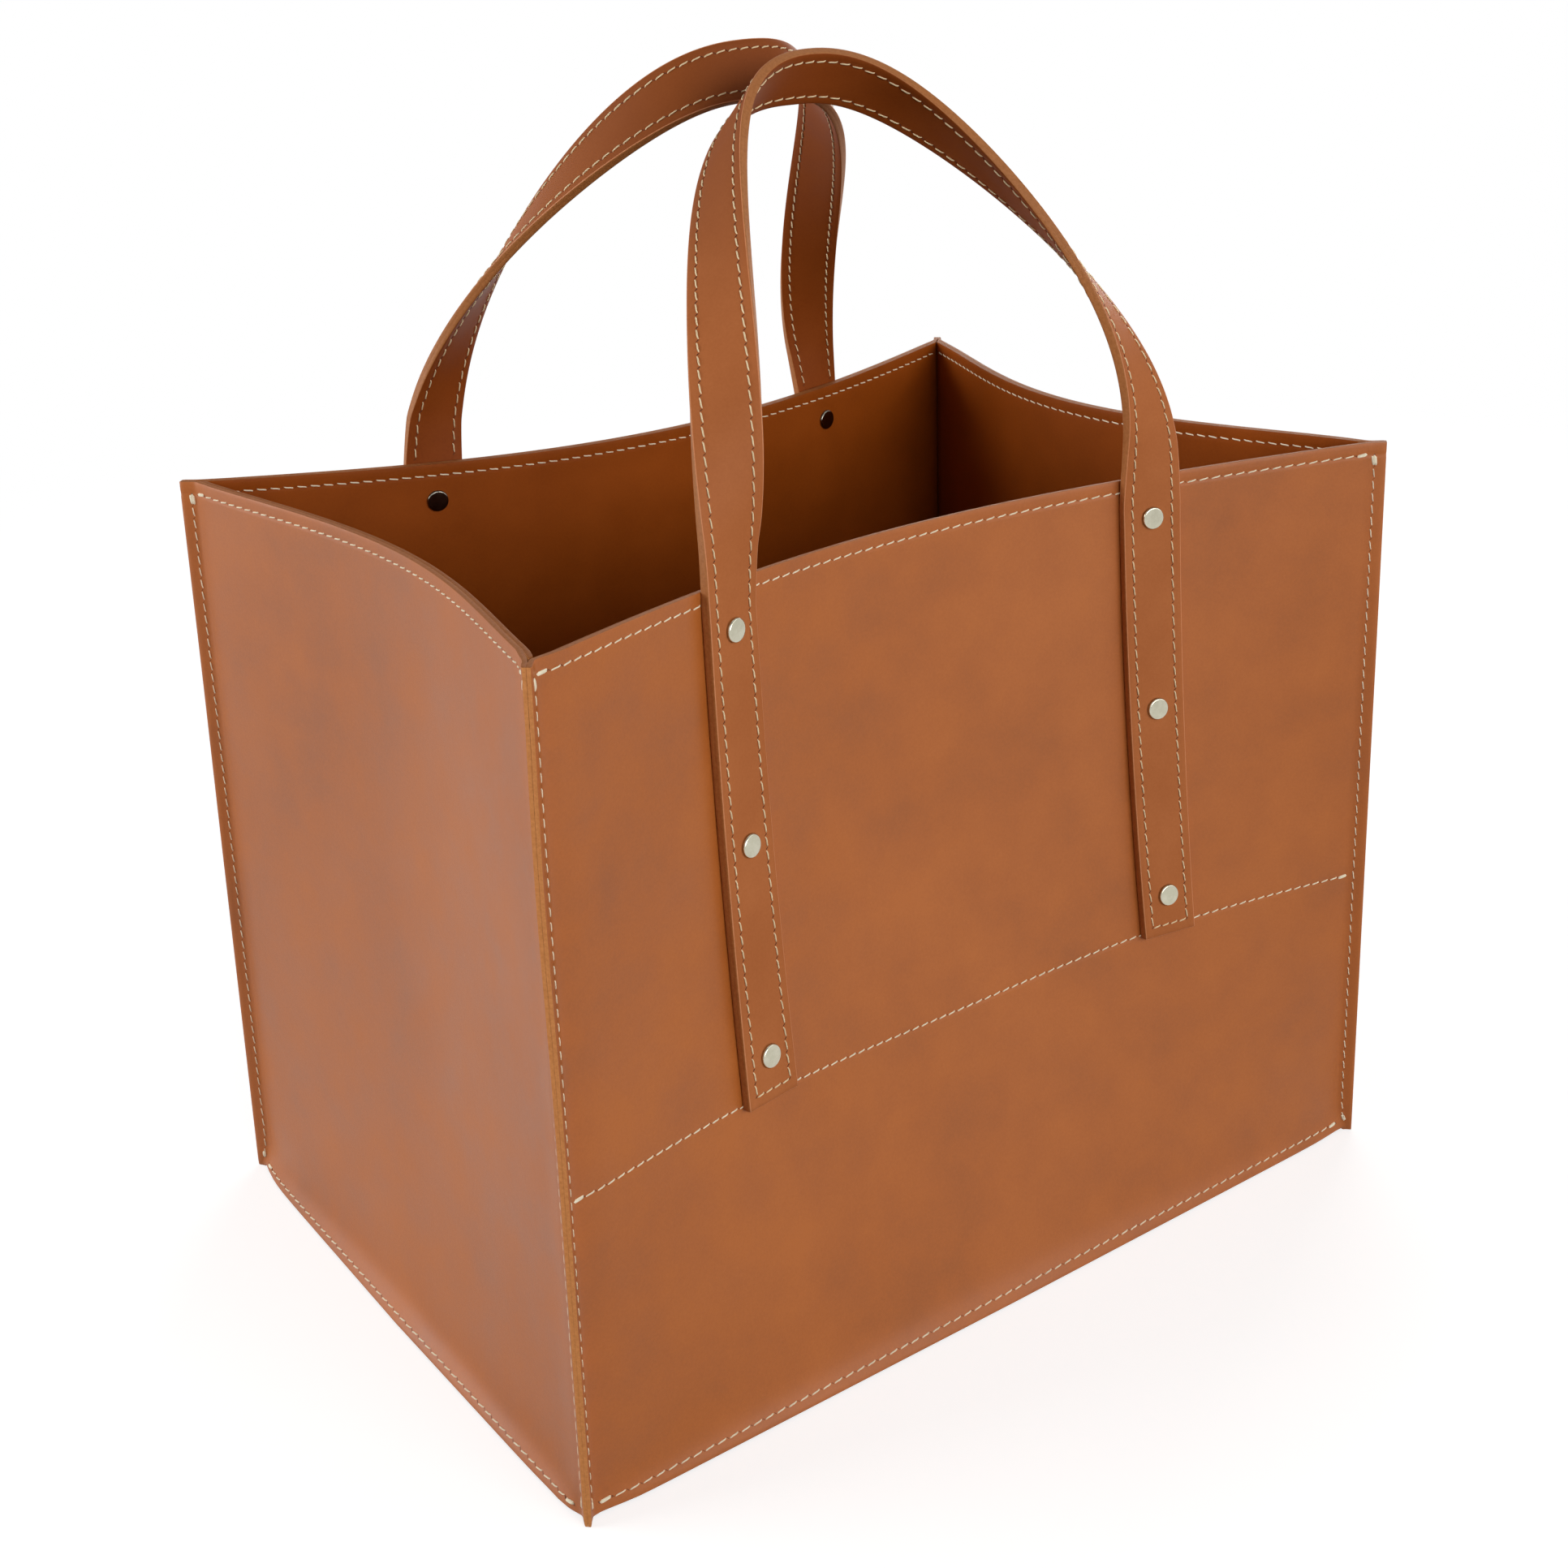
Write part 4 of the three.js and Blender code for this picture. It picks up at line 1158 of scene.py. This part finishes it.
makeRivets()
print("rivets made")


# camera, floor and light
camera = {  # mm, degrees and the picture's pixels
    "place": (-547.27, -764.51, 604.36), "yaw": 35.41, "pitch": 16.975, "roll": -1.836,
    "focal": 2684.65, "centre": (960.44, 654.44), "picture": 1932,
}

def makeCamera():
    yaw, pitch, roll = (np.radians(camera[k]) for k in ("yaw", "pitch", "roll"))
    forward = np.array([np.sin(yaw) * np.cos(pitch), np.cos(yaw) * np.cos(pitch), -np.sin(pitch)])
    level = np.array([np.cos(yaw), -np.sin(yaw), 0])
    steep = np.cross(level, forward)
    right = np.cos(roll) * level + np.sin(roll) * steep
    up = -np.sin(roll) * level + np.cos(roll) * steep
    data = bpy.data.cameras.new("photo_camera")
    data.sensor_width = 36
    data.lens = camera["focal"] / camera["picture"] * data.sensor_width
    data.shift_x = 0.5 - camera["centre"][0] / camera["picture"]
    data.shift_y = camera["centre"][1] / camera["picture"] - 0.5
    data.clip_start, data.clip_end = 0.05, 50
    obj = linked("photo_camera", data)
    obj.matrix_world = Matrix(np.column_stack([right, up, -forward]).tolist()).to_4x4()
    obj.location = Vector(camera["place"]) * mm
    bpy.context.scene.camera = obj

light = {
    "ambient": 0.12,
    "skyFrom": 0.55, "skyTo": 0.9, "skyTop": 0.4,          # the white that is seen darkens overhead
    "floorSize": 8.0, "floorSink": 0.4 * mm,
    "floorBounce": 0.1, "floorColour": 0.5, "floorGlow": 0.68,
    "whiteFrom": 0.5, "whiteTo": 1.6,                      # distance over which the floor turns plain white
    "target": (0, 0, 0.2),
    "lamps": {  # place, size, power
        "front_box": ((-0.1, -2.2, 1.0), (1.8, 1.0), 33),
        "right_front_box": ((1.5, -1.7, 1.1), (1.6, 1.2), 7),
        "left_box": ((-1.8, 0.9, 0.8), (1.4, 1.1), 30),
        "right_back_box": ((1.8, 1.4, 0.9), (1.6, 1.2), 30),
        "top_box": ((0.3, 0.2, 2.2), (1.6, 1.6), 4),
    },
}

def seenRays(tree):
    # one where the eye, a mirror or glass looks, nought where light bounces
    path = node(tree, "LightPath").outputs
    seen = maths(tree, "MAXIMUM", path["Is Camera Ray"], path["Is Glossy Ray"])
    return maths(tree, "MAXIMUM", seen, path["Is Transmission Ray"])

def mixShaders(tree, factor, first, second):
    return node(tree, "MixShader", {0: factor, 1: first, 2: second}).outputs[0]

def plainShader(tree, kind, level, strength=None):
    # a grey or white diffuse, glow or background
    inputs = {"Color": (level, level, level, 1)}
    if strength is not None:
        inputs["Strength"] = strength
    return node(tree, kind, inputs).outputs[0]

def makeFloor():
    # a pale floor that keeps its shadow near the object and is plain white further out
    material, tree, shader = newMaterial("pale_floor")
    tree.nodes.remove(shader)
    distance = node(tree, "VectorMath", {0: objectPlace(tree)}, operation="LENGTH").outputs["Value"]
    far = mapped(tree, distance, light["whiteFrom"], light["whiteTo"], interpolation_type="SMOOTHSTEP")
    diffuse = plainShader(tree, "BsdfDiffuse", light["floorColour"])
    glow = plainShader(tree, "Emission", 1, light["floorGlow"])
    near = node(tree, "AddShader", {0: diffuse, 1: glow}).outputs[0]
    fade = mixShaders(tree, far, near, plainShader(tree, "Emission", 1, 1.0))
    bounce = plainShader(tree, "BsdfDiffuse", light["floorBounce"])
    tree.links.new(mixShaders(tree, seenRays(tree), bounce, fade), tree.nodes[0].inputs[0])
    size, low = light["floorSize"], -light["floorSink"]
    points = np.array([[-size, -size, low], [size, -size, low], [size, size, low], [-size, size, low]])
    makeMesh("floor", points, np.array([[0, 1, 2, 3]]), [material])

def makeLamp(name, place, size, power):
    data = bpy.data.lights.new(name, "AREA")
    data.shape = "RECTANGLE"
    data.size, data.size_y = size
    data.energy = power
    obj = linked(name, data)
    obj.location = place
    obj.rotation_euler = (Vector(light["target"]) - Vector(place)).to_track_quat("-Z", "Y").to_euler()

def makeWorld():
    world = bpy.data.worlds.new("studio")
    bpy.context.scene.world = world
    world.use_nodes = True
    tree = world.node_tree
    tree.nodes.clear()
    out = node(tree, "OutputWorld")
    sky = node(tree, "TexCoord").outputs["Generated"]
    height = node(tree, "SeparateXYZ", {0: sky}).outputs["Z"]
    bright = mapped(tree, height, light["skyFrom"], light["skyTo"], 1.0, light["skyTop"])
    soft = plainShader(tree, "Background", 1, light["ambient"])
    white = plainShader(tree, "Background", 1, bright)
    tree.links.new(mixShaders(tree, seenRays(tree), soft, white), out.inputs[0])

makeCamera()
makeFloor()
makeWorld()
for name, (place, size, power) in light["lamps"].items():
    makeLamp(name, place, size, power)
bpy.context.scene.view_settings.view_transform = "Standard"
print("camera and light set")
